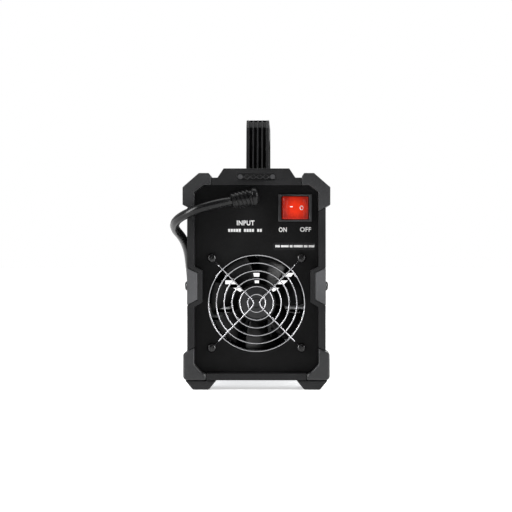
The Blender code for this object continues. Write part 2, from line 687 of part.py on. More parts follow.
def switch_rocker():
    """The rocker: two faces that meet in a shallow valley, its OFF side, on the right, pressed in."""
    right = [(11.9, 3.2), (11.9, -3.2), (6.0, -9.0)]
    outline = [(0, 1.4)] + right + [(-x, out) for x, out in reversed(right)]
    turn = Matrix.Rotation(ROCKER_TILT, 2)
    tilted = [turn @ Vector((x, -out)) for x, out in outline]
    plate("switch_rocker", [tilted], -ROCKER_HEIGHT / 2, ROCKER_HEIGHT / 2, "rocker_red", axis="Z",
          at=ROCKER_PIVOT)


# ---------------------------------------------------------------- mains lead

def cord_grip():
    """The strain relief: a neck through the panel and a tapered boot whose elbow turns to the left."""
    face = -PANEL_FACE[REAR] - GAP
    path = [Vector((GRIP_X, face, GRIP_Z))]
    steps = 5
    for number in range(steps + 1):
        angle = GRIP_TURN * number / steps
        path.append(Vector((GRIP_X - GRIP_BEND * (1 - cos(angle)), GRIP_ELBOW_Y - GRIP_BEND * sin(angle),
                            GRIP_Z)))
    ahead = Vector((-sin(GRIP_TURN), -cos(GRIP_TURN), 0))
    for share in (0.5, 1.0):
        path.append(path[steps + 1] + ahead * GRIP_SLEEVE * share - Vector((0, 0, GRIP_DROP * share)))
    big, small = GRIP_RADII
    radii = [1.0 - (1.0 - small / big) * number / (len(path) - 1) for number in range(len(path))]
    grip = tube("cord_grip", [path], big, "lead_rubber", sides=12, radii=radii)
    join(grip, rod("grip_neck", GRIP_NECK_R, 13.0, (GRIP_X, face - 2.0, GRIP_Z), "+Y", steps=20))


def cord_grip_nut():
    inner = -PANEL_FACE[REAR] + PANEL_SHEET + GAP
    nut = rod("cord_grip_nut", 9.5, 5.0, (GRIP_X, inner, GRIP_Z), "+Y", "zinc_steel", steps=6)
    cut(nut, rod("nut_hole", GRIP_NECK_R + GAP, 12.0, (GRIP_X, inner - 3, GRIP_Z), "+Y", steps=20))


def power_cord():
    """The lead where it isn't coiled: round the rear left edge, down the side and along the floor."""
    start = Vector(LEAD_ROUTE[0])
    ahead = (Vector(LEAD_ROUTE[1]) - start).normalized()
    route = [start + ahead * LEAD_START] + LEAD_ROUTE[1:]
    tube("power_cord", [smooth_path(route, 18.0)], LEAD_R, "lead_rubber", sides=8)


def coil_top():
    return COIL_BASE + 2 * LEAD_R * COIL_LAYERS


def power_cord_coil():
    """The outer shape of the coil that puts the rest of the lead away."""
    inner, outer = COIL_COLUMNS[0] - LEAD_R, COIL_COLUMNS[1] + LEAD_R
    profile = [(inner, coil_top()), (outer, coil_top()), (outer, COIL_BASE), (inner, COIL_BASE)]
    turned("power_cord_coil", profile + profile[:1], (COIL_X, COIL_Y, 0), "+Z", "lead_rubber", steps=36)


def cord_tie():
    """A strap round the coil at its right side."""
    inner, outer = COIL_COLUMNS[0] - LEAD_R, COIL_COLUMNS[1] + LEAD_R
    tie = block("cord_tie", (COIL_X + inner - GAP - 1.5, COIL_Y - 5, COIL_BASE - 0.2),
                (COIL_X + outer + GAP + 1.5, COIL_Y + 5, coil_top() + GAP + 1.5), "lead_rubber")
    core = block("cord_tie_core", (COIL_X + inner - GAP - 0.4, COIL_Y - 9, COIL_BASE - 9),
                 (COIL_X + outer + GAP, COIL_Y + 9, coil_top() + GAP))
    cut(tie, core)


def mains_plug():
    """A round two-pin plug that lies beside the coil, its sleeve facing the lead's last turn."""
    x, z = COIL_X - COIL_COLUMNS[1], coil_top() - LEAD_R
    tip = COIL_Y + (((COIL_COLUMNS[1] + LEAD_R) ** 2 - (COIL_COLUMNS[1] - LEAD_R) ** 2) ** 0.5) + 2.2
    profile = [(0, 66.0), (18.0, 66.0), (19.5, 64.5), (PLUG_R, 36.0), (15.0, 29.0), (8.0, 26.0),
               (5.5, 0), (0, 0)]
    plug = turned("mains_plug", profile, (x, tip, z - 0.4), "+Y", "lead_rubber", steps=20)
    for side in (LEFT, RIGHT):
        join(plug, rod("plug_pin", 2.4, 21.0, (x + side * 9.5, tip + 64.0, z - 0.4), "+Y", steps=12))


# ---------------------------------------------------------------- front controls

def current_knob():
    """The current knob, turned about its own axis, with a skirt and a grip, bored for the shaft."""
    profile = [(0, 16.0), (12.0, 16.0), (13.2, 15.0), (13.8, 5.5), (KNOB_R, 4.0), (KNOB_R, 0), (3.4, 0),
               (3.4, 12.0), (0, 12.0)]
    knob = turned("current_knob", profile, (0, PANEL_FACE[FRONT] + 1.0, KNOB_Z), "+Y", "knob_plastic",
                  steps=28)
    face = PANEL_FACE[FRONT] + 17.0
    cut(knob, block("knob_pointer", (-0.9, face - 1.0, KNOB_Z + 3.0), (0.9, face + 4, KNOB_Z + 20.0)))


def potentiometer():
    inner = PANEL_FACE[FRONT] - PANEL_SHEET - GAP
    body = rod("potentiometer", 9.0, 9.0, (0, inner, KNOB_Z), "-Y", "zinc_steel", steps=20)
    join(body, rod("potentiometer_shaft", 3.0, 16.0, (0, inner - 2, KNOB_Z), "+Y", steps=16))


def display_window():
    """A tinted window with a lip on the panel's face."""
    face = PANEL_FACE[FRONT]
    wide, high = DISPLAY_HALF
    window = block("display_window", (-wide, face + GAP, DISPLAY_Z - high),
                   (wide, face + 2.4, DISPLAY_Z + high), "display_plastic")
    join(window, block("display_body", (-wide + 2 + GAP, face - 6, DISPLAY_Z - high + 2 + GAP),
                       (wide - 2 - GAP, face + 1, DISPLAY_Z + high - 2 - GAP)))


def warning_lamp():
    face = PANEL_FACE[FRONT]
    profile = [(0, 3.4), (1.4, 3.0), (LAMP_R, 1.6), (LAMP_R, -6.0), (0, -6.0)]
    turned("warning_lamp", profile, (LAMP_X, face, LAMP_Z), "+Y", "lamp_amber", steps=14)


def output_socket(side, sign):
    """A bayonet socket for a welding cable: an insulating collar and a bored brass insert."""
    face = PANEL_FACE[FRONT]
    place = (side * SOCKET_X, face, SOCKET_Z)
    collar = [(15.6, 14.0), (17.0, 12.6), (17.0, GAP), (13.4, GAP), (13.4, -9.0), (9.8, -9.0), (9.8, 14.0)]
    turned(f"output_socket_{sign}_collar", collar + collar[:1], place, "+Y", "knob_plastic", steps=28)
    insert = [(9.4, 12.0), (9.4, -22.0), (0, -22.0), (0, -13.0), (SOCKET_BORE, -13.0), (SOCKET_BORE, 12.0)]
    brass = turned(f"output_socket_{sign}_insert", insert + insert[:1], place, "+Y", "brass", steps=24)
    return brass


# ---------------------------------------------------------------- works

def main_board():
    half = COVER_SIDE - COVER_SHEET - 4.0
    block("main_board", (-half, -92.0, BOARD_LOW), (half, 92.0, BOARD_LOW + BOARD_SHEET), "board_laminate")


def board_top():
    return BOARD_LOW + BOARD_SHEET + GAP


def heat_sink(side):
    """An aluminium comb along the case, its fins pointing inwards."""
    fins, pitch, fin, height = 7, 8.0, 2.0, 26.0
    low = board_top()
    back = side * 52.0
    outline = [(back, low)]
    for number in range(fins):
        z = low + 2.0 + pitch * number
        root, tip = back - side * 5.0, back - side * height
        outline += [(root, z), (tip, z), (tip, z + fin), (root, z + fin)]
    outline.append((back, low + 2.0 + pitch * (fins - 1) + fin + 2.0))
    plate(f"heat_sink_{SIDE_NAMES[side]}", [outline], -85.0, 5.0, "aluminium")


def main_transformer():
    """A ferrite core with its copper winding proud on both sides."""
    low = board_top()
    core = block("main_transformer", (-22.0, 14.0, low), (22.0, 60.0, low + 44.0), "ferrite")
    join(core, block("transformer_winding", (-19.0, 9.0, low + 8.0), (19.0, 65.0, low + 36.0)))


def reservoir_capacitors():
    for name, x in (("left", -12.8), ("right", 12.8)):
        profile = [(0, 46.0), (9.8, 46.0), (11.0, 44.8), (11.0, 0), (0, 0)]
        turned("reservoir_capacitor_" + name, profile, (x, -34.0, board_top()), "+Z", "capacitor_sleeve",
               steps=20)


def output_choke():
    """A wound ring that stands at the right front of the board."""
    outer, inner, wide = 19.0, 9.0, 18.0
    profile = [(outer - 3, wide / 2), (outer, wide / 2 - 3), (outer, 3 - wide / 2), (outer - 3, -wide / 2),
               (inner + 2, -wide / 2), (inner, 2 - wide / 2), (inner, wide / 2 - 2), (inner + 2, wide / 2)]
    turned("output_choke", profile + profile[:1], (40.0, 68.0, board_top() + outer), "+X", "copper", steps=20)


# ---------------------------------------------------------------- the whole machine

def build():
    for end in (REAR, FRONT):
        end_frame(end)
        for side in (LEFT, RIGHT):
            corner_guard(end, side, "upper", UPPER_GUARD)
            corner_guard(end, side, "lower", LOWER_GUARD)
            side_clip(end, side)
            clip_screw(end, side)
            foot(end, side)
    housing_cover()
    base_tray()
    rear_panel()
    front_panel()
    carry_handle()
    fan_frame()
    fan_impeller()
    fan_guard()
    fan_screws()
    switch_frame()
    switch_rocker()
    cord_grip()
    cord_grip_nut()
    power_cord()
    power_cord_coil()
    cord_tie()
    mains_plug()
    current_knob()
    potentiometer()
    display_window()
    warning_lamp()
    output_socket(LEFT, "minus")
    output_socket(RIGHT, "plus")
    main_board()
    for side in (LEFT, RIGHT):
        heat_sink(side)
    main_transformer()
    reservoir_capacitors()
    output_choke()


build()
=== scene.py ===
# %% [markdown]
# # The looks of a stick welding inverter, seen from behind
#
# The machine is a steel case between two moulded end frames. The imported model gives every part's place, so
# each piece here is built where the model says that it is. First come the model, the camera and the light,
# then the finishes, then the mains lead, and then the pieces one after another.

# %% The frame and its box
from math import cos, pi, radians, sin, tau

import bpy
from mathutils import Matrix, Vector


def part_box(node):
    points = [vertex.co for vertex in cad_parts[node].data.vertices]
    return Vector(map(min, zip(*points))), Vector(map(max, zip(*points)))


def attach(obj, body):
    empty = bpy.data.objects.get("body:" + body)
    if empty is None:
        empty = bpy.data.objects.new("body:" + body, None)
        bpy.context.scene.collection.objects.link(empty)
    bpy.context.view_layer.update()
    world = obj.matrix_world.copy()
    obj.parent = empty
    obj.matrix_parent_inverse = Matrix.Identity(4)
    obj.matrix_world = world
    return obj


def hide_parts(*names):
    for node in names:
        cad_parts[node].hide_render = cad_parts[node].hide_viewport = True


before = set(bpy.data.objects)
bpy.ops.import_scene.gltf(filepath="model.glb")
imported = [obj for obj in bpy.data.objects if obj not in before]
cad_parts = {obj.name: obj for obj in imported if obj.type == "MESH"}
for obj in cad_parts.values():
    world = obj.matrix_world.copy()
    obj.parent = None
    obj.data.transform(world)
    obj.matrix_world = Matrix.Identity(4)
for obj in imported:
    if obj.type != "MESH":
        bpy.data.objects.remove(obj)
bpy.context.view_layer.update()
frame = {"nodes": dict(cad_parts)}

MM = 0.001
CASE = "case"
nodes = frame["nodes"]


def middle_of(node):
    """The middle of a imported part's box, in millimetres."""
    low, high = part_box(node)
    return (Vector(low) + Vector(high)) / 2 / MM


# %% [markdown]
# ## Camera, floor and light
#
# The machine is looked at from straight behind, from about a metre and a half, at half its height. The lens
# stands a little to the right of the middle, and its shift brings the machine back to the middle, so that
# the far leg of the handle shows beside the near one. Two tall soft lights stand left and right, as in a
# studio. The world shows the camera plain white, like paper, while its own light is weak behind the camera
# and stronger ahead of it.

# %% Camera
REAR_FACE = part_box("rear_panel")[0][1]
SHOT_WIDTH = 0.471
SHOT_MIDDLE = Vector((-0.0006, 0, 0.1222))
CAMERA_BACK = 1.472
CAMERA_RIGHT = 0.026
SENSOR_WIDTH = 36

camera_data = bpy.data.cameras.new("camera")
camera_data.sensor_width = SENSOR_WIDTH
camera_data.lens = SENSOR_WIDTH * CAMERA_BACK / SHOT_WIDTH
camera_data.shift_x = (SHOT_MIDDLE.x - CAMERA_RIGHT) / SHOT_WIDTH
camera_data.clip_end = 20
camera = bpy.data.objects.new("camera", camera_data)
camera.location = (CAMERA_RIGHT, REAR_FACE - CAMERA_BACK, SHOT_MIDDLE.z)
camera.rotation_euler = (pi / 2, 0, 0)
bpy.context.scene.collection.objects.link(camera)
bpy.context.scene.camera = camera
print("camera: lens", round(camera_data.lens, 1), "mm, shift", round(camera_data.shift_x, 4))


# %% Light
def soft_light(name, place, aim, size, power):
    """A rectangular soft light at a place, facing a point."""
    data = bpy.data.lights.new(name, "AREA")
    data.shape = "RECTANGLE"
    data.size, data.size_y = size
    data.energy = power
    lamp = bpy.data.objects.new(name, data)
    lamp.location = place
    lamp.rotation_euler = (Vector(aim) - Vector(place)).to_track_quat("-Z", "Y").to_euler()
    bpy.context.scene.collection.objects.link(lamp)


TARGET = (0, -0.05, 0.11)
TALL = (0.35, 1.0)
soft_light("left_softbox", (-1.15, -0.60, 0.55), TARGET, TALL, 20)
soft_light("right_softbox", (1.15, -0.60, 0.55), TARGET, TALL, 18)
soft_light("top_softbox", (0, 0.1, 1.6), (0, 0, 0), (1.4, 1.0), 9)
soft_light("front_softbox", (0.2, 1.6, 0.9), (0, 0, 0.1), (1.2, 0.8), 10)

BEHIND_CAMERA, AHEAD = 0.03, 0.55      # the world's strength
world = bpy.data.worlds.new("studio")
bpy.context.scene.world = world
world.use_nodes = True
world_tree = world.node_tree
background = world_tree.nodes["Background"]
direction = world_tree.nodes.new("ShaderNodeTexCoord")
split = world_tree.nodes.new("ShaderNodeSeparateXYZ")
spread = world_tree.nodes.new("ShaderNodeMapRange")
world_tree.links.new(direction.outputs["Generated"], split.inputs[0])
world_tree.links.new(split.outputs["Y"], spread.inputs["Value"])
seen = world_tree.nodes.new("ShaderNodeLightPath")
shown = world_tree.nodes.new("ShaderNodeMath")
shown.operation = "MAXIMUM"
world_tree.links.new(spread.outputs["Result"], shown.inputs[0])
world_tree.links.new(seen.outputs["Is Camera Ray"], shown.inputs[1])
world_tree.links.new(shown.outputs[0], background.inputs["Strength"])
for name, value in {"From Min": -0.75, "From Max": 0.05, "To Min": BEHIND_CAMERA, "To Max": AHEAD}.items():
    spread.inputs[name].default_value = value
background.inputs["Color"].default_value = (1.0, 1.0, 1.0, 1)
bpy.context.scene.view_settings.view_transform = "Standard"

# %% [markdown]
# ## A short way to write finishes
#
# A finish is a small network of nodes. Drawn by hand it is boxes and wires, and in code it gets long. The
# class below holds one output socket, so that sums on it read like sums: each plus, minus or times adds one
# Math node. Every other kind of node comes from its one method, `node`.

# %% Wires
class Wire:
    """One output socket in a finish. Sums on it add Math nodes to the finish."""

    def __init__(self, tree, socket=None):
        self.tree = tree
        self.socket = socket

    def node(self, kind, settings=None, sockets=None, out=0):
        """Add a node with its settings, then its values and links, and give the wire from it."""
        made = self.tree.nodes.new("ShaderNode" + kind)
        for key, value in (settings or {}).items():
            setattr(made, key, value)
        for key, value in (sockets or {}).items():
            if isinstance(value, Wire):
                self.tree.links.new(value.socket, made.inputs[key])
            else:
                made.inputs[key].default_value = value
        return Wire(self.tree, made.outputs[out])

    def sum(self, operation, first, second):
        """One Math node."""
        return self.node("Math", {"operation": operation}, {0: first, 1: second})

    def __add__(self, other):
        return self.sum("ADD", self, other)

    def __sub__(self, other):
        return self.sum("SUBTRACT", self, other)

    def __rsub__(self, other):
        return self.sum("SUBTRACT", other, self)

    def __mul__(self, other):
        return self.sum("MULTIPLY", self, other)

    __radd__ = __add__
    __rmul__ = __mul__

    def clamp(self, low, high):
        """Spread a value that runs from low to high over 0 to 1, and stop it there."""
        return self.node("MapRange", {"clamp": True}, {0: self, 1: low, 2: high, 3: 0.0, 4: 1.0})

    def mix(self, first, second):
        """The first colour where this value is 0, the second where it is 1."""
        colours = [(*tone, 1) if isinstance(tone, tuple) else tone for tone in (first, second)]
        return self.node("Mix", {"data_type": "RGBA"}, {0: self, 6: colours[0], 7: colours[1]}, out=2)


def noise(wire, place, size, detail, stretch=(1, 1, 1)):
    """Cloudy noise with lumps about `size` metres across, from 0 to 1, drawn out by `stretch`."""
    scale = [1 / part for part in stretch]
    drawn = wire.node("Mapping", {}, {"Vector": place, "Scale": scale})
    return wire.node("TexNoise", {}, {"Vector": drawn, "Scale": 1 / size, "Detail": detail})


print("wires ready")

# %% [markdown]
# ## The finishes
#
# Nearly all of this machine is black or dark grey, so the finishes differ by gloss and by grain more than by
# colour: moulded plastic has a fine spark-eroded grain, powder coat has a pebbled skin, rubber is dull and
# dusty, and plated metal is bright. One function makes the base of all of them: two tones blended by slow
# clouds, a roughness that drifts, and a bump for the grain. Each finish then has its own numbers.


# %% Base of every finish
FINISHES = {}


def finish(name, dark, light, rough, grain, depth, cloud=0.03, stretch=(1, 1, 1), metallic=0.0, speck=None,
           coat=0.0, specular=0.5):
    """Add a finish: two tones, a range of roughness, and a grain of a size and depth in metres.

    speck is a size, a colour and an amount for fine flecks of a second tone, spread at random, such as dust.
    """
    material = bpy.data.materials.new(name)
    material.use_nodes = True
    tree = material.node_tree
    shader = tree.nodes["Principled BSDF"]
    wire = Wire(tree)
    place = wire.node("TexCoord", out=3)
    clouds = noise(wire, place, cloud, 4.0, stretch).clamp(0.3, 0.7)
    grains = noise(wire, place, grain, 2.0, stretch)
    colour = clouds.mix(dark, light)
    if speck:
        size, tint, amount = speck
        flecks = noise(wire, place, size, 1.0).clamp(0.62, 0.72) * amount
        colour = flecks.mix(colour, tint)
    drift = clouds * (rough[1] - rough[0]) + grains * 0.06 + (rough[0] - 0.03)
    bump = wire.node("Bump", {}, {"Strength": 1.0, "Distance": depth, "Height": grains})
    for key, value in {"Base Color": colour, "Roughness": drift, "Normal": bump}.items():
        tree.links.new(value.socket, shader.inputs[key])
    shader.inputs["Metallic"].default_value = metallic
    shader.inputs["Specular IOR Level"].default_value = specular
    shader.inputs["Coat Weight"].default_value = coat
    shader.inputs["Coat Roughness"].default_value = 0.15
    material.diffuse_color = (*light, 1)
    FINISHES[name] = material
    return material


def grey(value):
    """A very slightly cool grey, as black plastics have."""
    return (value * 0.98, value * 0.99, value * 1.04)


# %% One finish for each material
DUST = grey(0.16)
finish("frame_plastic", grey(0.0065), grey(0.0105), (0.32, 0.44), 0.0006, 0.00005,
       speck=(0.0009, DUST, 0.07), specular=0.24)
finish("guard_plastic", grey(0.014), grey(0.021), (0.32, 0.44), 0.0006, 0.00005, speck=(0.0009, DUST, 0.10),
       specular=0.40)
finish("clip_plastic", grey(0.046), grey(0.064), (0.32, 0.42), 0.0006, 0.00004,
       speck=(0.0012, grey(0.26), 0.10))
finish("foot_rubber", grey(0.009), grey(0.015), (0.60, 0.75), 0.0008, 0.00006, speck=(0.0007, DUST, 0.20),
       specular=0.25)
finish("powder_coat", grey(0.0024), grey(0.0045), (0.40, 0.52), 0.0009, 0.00007, cloud=0.02,
       speck=(0.0005, grey(0.07), 0.25), specular=0.11)
finish("zinc_steel", (0.46, 0.47, 0.49), (0.60, 0.61, 0.62), (0.28, 0.42), 0.0005, 0.00002,
       stretch=(1, 6, 1), metallic=1.0)
finish("chrome_wire", (0.36, 0.36, 0.38), (0.50, 0.50, 0.51), (0.09, 0.17), 0.0008, 0.00001, cloud=0.012,
       metallic=1.0)
finish("black_screw", grey(0.004), grey(0.007), (0.10, 0.18), 0.0004, 0.00002, cloud=0.006, specular=0.4)
finish("fan_plastic", grey(0.004), grey(0.007), (0.28, 0.40), 0.0006, 0.00003, specular=0.2)
finish("switch_plastic", grey(0.022), grey(0.032), (0.36, 0.48), 0.0005, 0.00003, cloud=0.01, specular=0.3)
finish("lead_rubber", grey(0.003), grey(0.006), (0.20, 0.30), 0.0007, 0.00003,
       speck=(0.0012, grey(0.06), 0.15), specular=0.24)
finish("handle_plastic", grey(0.009), grey(0.014), (0.42, 0.54), 0.0006, 0.00005, speck=(0.0009, DUST, 0.08),
       specular=0.18)
finish("knob_plastic", grey(0.010), grey(0.017), (0.38, 0.50), 0.0005, 0.00004, specular=0.4)
finish("display_plastic", (0.020, 0.003, 0.003), (0.034, 0.005, 0.005), (0.08, 0.16), 0.0020, 0.00001,
       coat=0.15, specular=0.25)
finish("brass", (0.66, 0.44, 0.14), (0.80, 0.58, 0.24), (0.20, 0.34), 0.0004, 0.00002, cloud=0.006,
       metallic=1.0)
finish("board_laminate", (0.010, 0.080, 0.030), (0.016, 0.120, 0.045), (0.30, 0.42), 0.0010, 0.00003,
       coat=0.3, speck=(0.003, (0.30, 0.26, 0.12), 0.5))
finish("aluminium", (0.66, 0.67, 0.68), (0.78, 0.79, 0.80), (0.30, 0.44), 0.0005, 0.00003, stretch=(1, 8, 1),
       metallic=1.0)
finish("ferrite", grey(0.030), grey(0.055), (0.50, 0.66), 0.0010, 0.00005)
finish("capacitor_sleeve", (0.008, 0.012, 0.040), (0.012, 0.020, 0.060), (0.22, 0.32), 0.0010, 0.00002,
       coat=0.5)
finish("copper", (0.50, 0.17, 0.07), (0.66, 0.26, 0.11), (0.26, 0.40), 0.0006, 0.00004, cloud=0.006,
       metallic=1.0)
finish("print_white", (0.52, 0.52, 0.52), (0.68, 0.68, 0.67), (0.48, 0.60), 0.0009, 0.00002, cloud=0.004,
       speck=(0.0008, (0.2, 0.2, 0.2), 0.35))
finish("label_film", (0.005, 0.005, 0.006), (0.009, 0.009, 0.010), (0.20, 0.30), 0.0015, 0.00001, cloud=0.01,
       coat=0.2, specular=0.2)
print(len(FINISHES), "finishes")

# %% [markdown]
# Three finishes give out some light. The lamp is clear amber plastic over a bright chamber, so it glows at the
# middle and darkens at the rim. The rocker has no lamp in it, but it is painted the same way: a painted glow
# at its middle and painted shade at its rim. The floor is plain white, and grows brighter with distance, so
# that it runs into the white world without an edge.

# %% Clear plastics and the floor's white
def shine(material, strength, colour):
    """Let a finish give out light: `colour` turns the wire of a place into the wire of its light there."""
    tree = material.node_tree
    shader = tree.nodes["Principled BSDF"]
    place = Wire(tree).node("TexCoord", out=3)
    tree.links.new(colour(place).socket, shader.inputs["Emission Color"])
    shader.inputs["Emission Strength"].default_value = strength


def glowing(name, dark, light, glow, strength, middle, reach):
    """Tinted clear plastic that gives out light, brightest near its middle, dark `reach` metres away. On the
    rocker this is a painted glow with painted shade at the rim.
    """

    def lit(place):
        away = place.node("VectorMath", {"operation": "DISTANCE"}, {0: place, 1: middle}, out=1)
        inner = 1 - away.clamp(reach * 0.35, reach)
        return (inner * 0.8 + noise(place, place, 0.0016, 1.0) * 0.4).mix((0, 0, 0), glow)

    shine(finish(name, dark, light, (0.16, 0.26), 0.0012, 0.00001, cloud=0.008, specular=0.24), strength, lit)


def floor_light(place):
    """The floor's own light, which grows from 0.35 to 1.8 metres away."""
    away = place.node("VectorMath", {"operation": "LENGTH"}, {0: place}, out=1)
    return away.clamp(0.35, 1.8).mix((0.52, 0.52, 0.52), (0.82, 0.82, 0.82))


ROCKER_PIVOT = Vector((0.0354, -0.130, 0.1664))
# The rocker's light is painted: a painted glow at its middle and painted shade at its rim, with no lamp in it.
glowing("rocker_red", (0.10, 0.002, 0.002), (0.19, 0.005, 0.003), (1.0, 0.044, 0.008), 0.70,
        ROCKER_PIVOT, 0.0122)
glowing("lamp_amber", (0.62, 0.20, 0.010), (0.80, 0.30, 0.020), (1.0, 0.36, 0.03), 0.10,
        middle_of("warning_lamp") * MM, 0.007)
floor_white = finish("floor_white", (0.80, 0.80, 0.80), (0.83, 0.83, 0.83), (0.55, 0.62), 0.004, 0.00001,
                     cloud=0.6, specular=0.2)
shine(floor_white, 1.0, floor_light)
print(len(FINISHES), "finishes in all")

# %% [markdown]
# The floor is a wide disc, so that its rim lies far from the machine on every side. A ring is inset in it,
# which breaks up its one big face.

# %% The floor
FLOOR_RADIUS = 14
FLOOR_Z = -0.0002


def clear_selection():
    """Leave edit mode, and select nothing."""
    if bpy.context.object and bpy.context.object.mode != "OBJECT":
        bpy.ops.object.mode_set(mode="OBJECT")
    bpy.ops.object.select_all(action="DESELECT")


clear_selection()
bpy.ops.mesh.primitive_circle_add(vertices=64, radius=1, fill_type="NGON", location=(0, 0, FLOOR_Z))
floor = bpy.context.object
floor.name = "studio_floor"
bpy.ops.object.mode_set(mode="EDIT")
bpy.ops.mesh.select_all(action="SELECT")
bpy.ops.mesh.inset(thickness=0.3)
bpy.ops.object.mode_set(mode="OBJECT")
floor.scale = (FLOOR_RADIUS, FLOOR_RADIUS, 1)
bpy.ops.object.transform_apply(location=True, rotation=True, scale=True)
floor.data.materials.append(floor_white)
print("floor:", len(floor.data.polygons), "faces")

# %% [markdown]
# ## Workshop tools
#
# The same few steps come back for every piece: add a primitive, pull rings out of it, round its edges, and
# hand it over with a finish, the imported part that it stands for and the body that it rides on. These helpers
# hold those steps. `turned` works like a lathe: it starts from a disc and extrudes it ring by ring.


# %% Turning, modifying and joining
def only(*objects):
    """Select just these objects, and make the first of them active."""
    clear_selection()
    for obj in objects:
        obj.select_set(True)
    bpy.context.view_layer.objects.active = objects[0]


def modify(obj, kind, **settings):
    """Add one modifier, set it and apply it."""
    only(obj)
    modifier = obj.modifiers.new(kind.lower(), kind)
    for key, value in settings.items():
        setattr(modifier, key, value)
    bpy.ops.object.modifier_apply(modifier=modifier.name)
    return obj


def settle(obj):
    """Put the object at the origin, unturned and unscaled, with its place in its mesh."""
    only(obj)
    bpy.ops.object.transform_apply(location=True, rotation=True, scale=True)
    return obj


def edit(obj, mode="FACE"):
    """Open a piece in edit mode with nothing selected."""
    only(obj)
    bpy.ops.object.mode_set(mode="EDIT")
    bpy.ops.mesh.select_mode(type=mode)
    bpy.ops.mesh.select_all(action="DESELECT")


def pick(obj, kind, wanted):
    """In edit mode, select the vertices or faces that the test `wanted` is true of."""
    bpy.ops.object.mode_set(mode="OBJECT")
    count = 0
    for item in getattr(obj.data, kind):
        item.select = bool(wanted(item))
        count += item.select
    bpy.ops.object.mode_set(mode="EDIT")
    return count


def smooth(obj, angle=35):
    """Smooth shading, with edges that are sharper than an angle left as creases."""
    only(obj)
    bpy.ops.object.shade_smooth_by_angle(angle=radians(angle))
    return obj


def joined(first, *others):
    """One object from several."""
    only(first, *others)
    bpy.ops.object.join()
    return first


AIM = {"+Y": (-pi / 2, 0, 0), "-Y": (pi / 2, 0, 0), "+Z": (0, 0, 0)}


def turned(name, rings, place, aim, sides):
    """A lathe: a disc is extruded through rings of (radius, height), in millimetres, along one way."""
    clear_selection()
    first_radius, first_height = rings[0]
    bpy.ops.mesh.primitive_circle_add(vertices=sides, radius=first_radius * MM, fill_type="NGON",
                                      location=(0, 0, first_height * MM))
    piece = bpy.context.object
    piece.name = name
    bpy.ops.object.mode_set(mode="EDIT")
    bpy.ops.mesh.select_all(action="SELECT")
    radius, height = first_radius, first_height
    for next_radius, next_height in rings[1:]:
        bpy.ops.mesh.extrude_region_move(
            TRANSFORM_OT_translate={"value": (0, 0, (next_height - height) * MM)})
        share = next_radius / radius
        bpy.ops.transform.resize(value=(share, share, 1), center_override=(0, 0, 0))
        radius, height = next_radius, next_height
    bpy.ops.mesh.select_all(action="SELECT")
    bpy.ops.mesh.normals_make_consistent(inside=False)
    bpy.ops.object.mode_set(mode="OBJECT")
    settle(piece)
    piece.rotation_euler = aim if isinstance(aim, tuple) else AIM[aim]
    piece.location = Vector(place) * MM
    return settle(piece)


def block(name, low, high, bevel=0.0):
    """A box between two corners in millimetres, with rounded edges where a bevel is given."""
    clear_selection()
    low, high = Vector(low) * MM, Vector(high) * MM
    bpy.ops.mesh.primitive_cube_add(size=1, location=(low + high) / 2)
    piece = bpy.context.object
    piece.name = name
    piece.scale = high - low
    settle(piece)
    if bevel:
        modify(piece, "BEVEL", width=bevel * MM, segments=2, limit_method="NONE")
    return piece


# Merged into one, the flat faces round an end frame's opening would fill wrongly.
KEPT_AS_TRIANGLES = ("front_end_frame", "rear_end_frame")
FLAT = radians(1.5)
SHARP = radians(30)


def softened(node, edge, segments=2):
    """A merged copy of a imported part, its edges rounded by `edge` millimetres."""
    source = bpy.data.objects[node]
    piece = bpy.data.objects.new(node + "_piece", source.data.copy())
    bpy.context.scene.collection.objects.link(piece)
    piece.data.materials.clear()
    edit(piece)
    bpy.ops.mesh.select_all(action="SELECT")
    bpy.ops.mesh.remove_doubles(threshold=0.00001)
    if node not in KEPT_AS_TRIANGLES:
        bpy.ops.mesh.dissolve_limited(angle_limit=FLAT)
    bpy.ops.object.mode_set(mode="OBJECT")
    modify(piece, "BEVEL", width=edge * MM, segments=segments, limit_method="ANGLE", angle_limit=SHARP,
           miter_outer="MITER_ARC")
    smooth(piece)
    return modify(piece, "WEIGHTED_NORMAL", keep_sharp=True, weight=100)


def hand_over(obj, name, finish_name, nodes=(), body=CASE):
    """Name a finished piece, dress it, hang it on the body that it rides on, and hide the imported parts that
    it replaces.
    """
    obj.name = name
    obj.data.name = name
    if not obj.data.materials:
        obj.data.materials.append(FINISHES[finish_name])
    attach(obj, body)
    nodes = (nodes,) if isinstance(nodes, str) else nodes
    if nodes:
        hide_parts(*nodes)
    print(f"{name}: {len(obj.data.polygons)} faces, on {body}")


# %% [markdown]
# ## The mains lead
#
# The lead leaves a moulded elbow near the top of the rear panel, bends round the machine's left edge, hangs
# down its side and runs along the floor. The machine hides the rest from the camera: a coil before its front,
# where the unused length is put away under a strap. In all the lead is a little under two metres long. The
# route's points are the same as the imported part's, and the coil is worked out as turns that lie beside and
# on each other. In the coil each turn has a place of its own, and the lead steps to the next place shortly
# before it has gone once round.

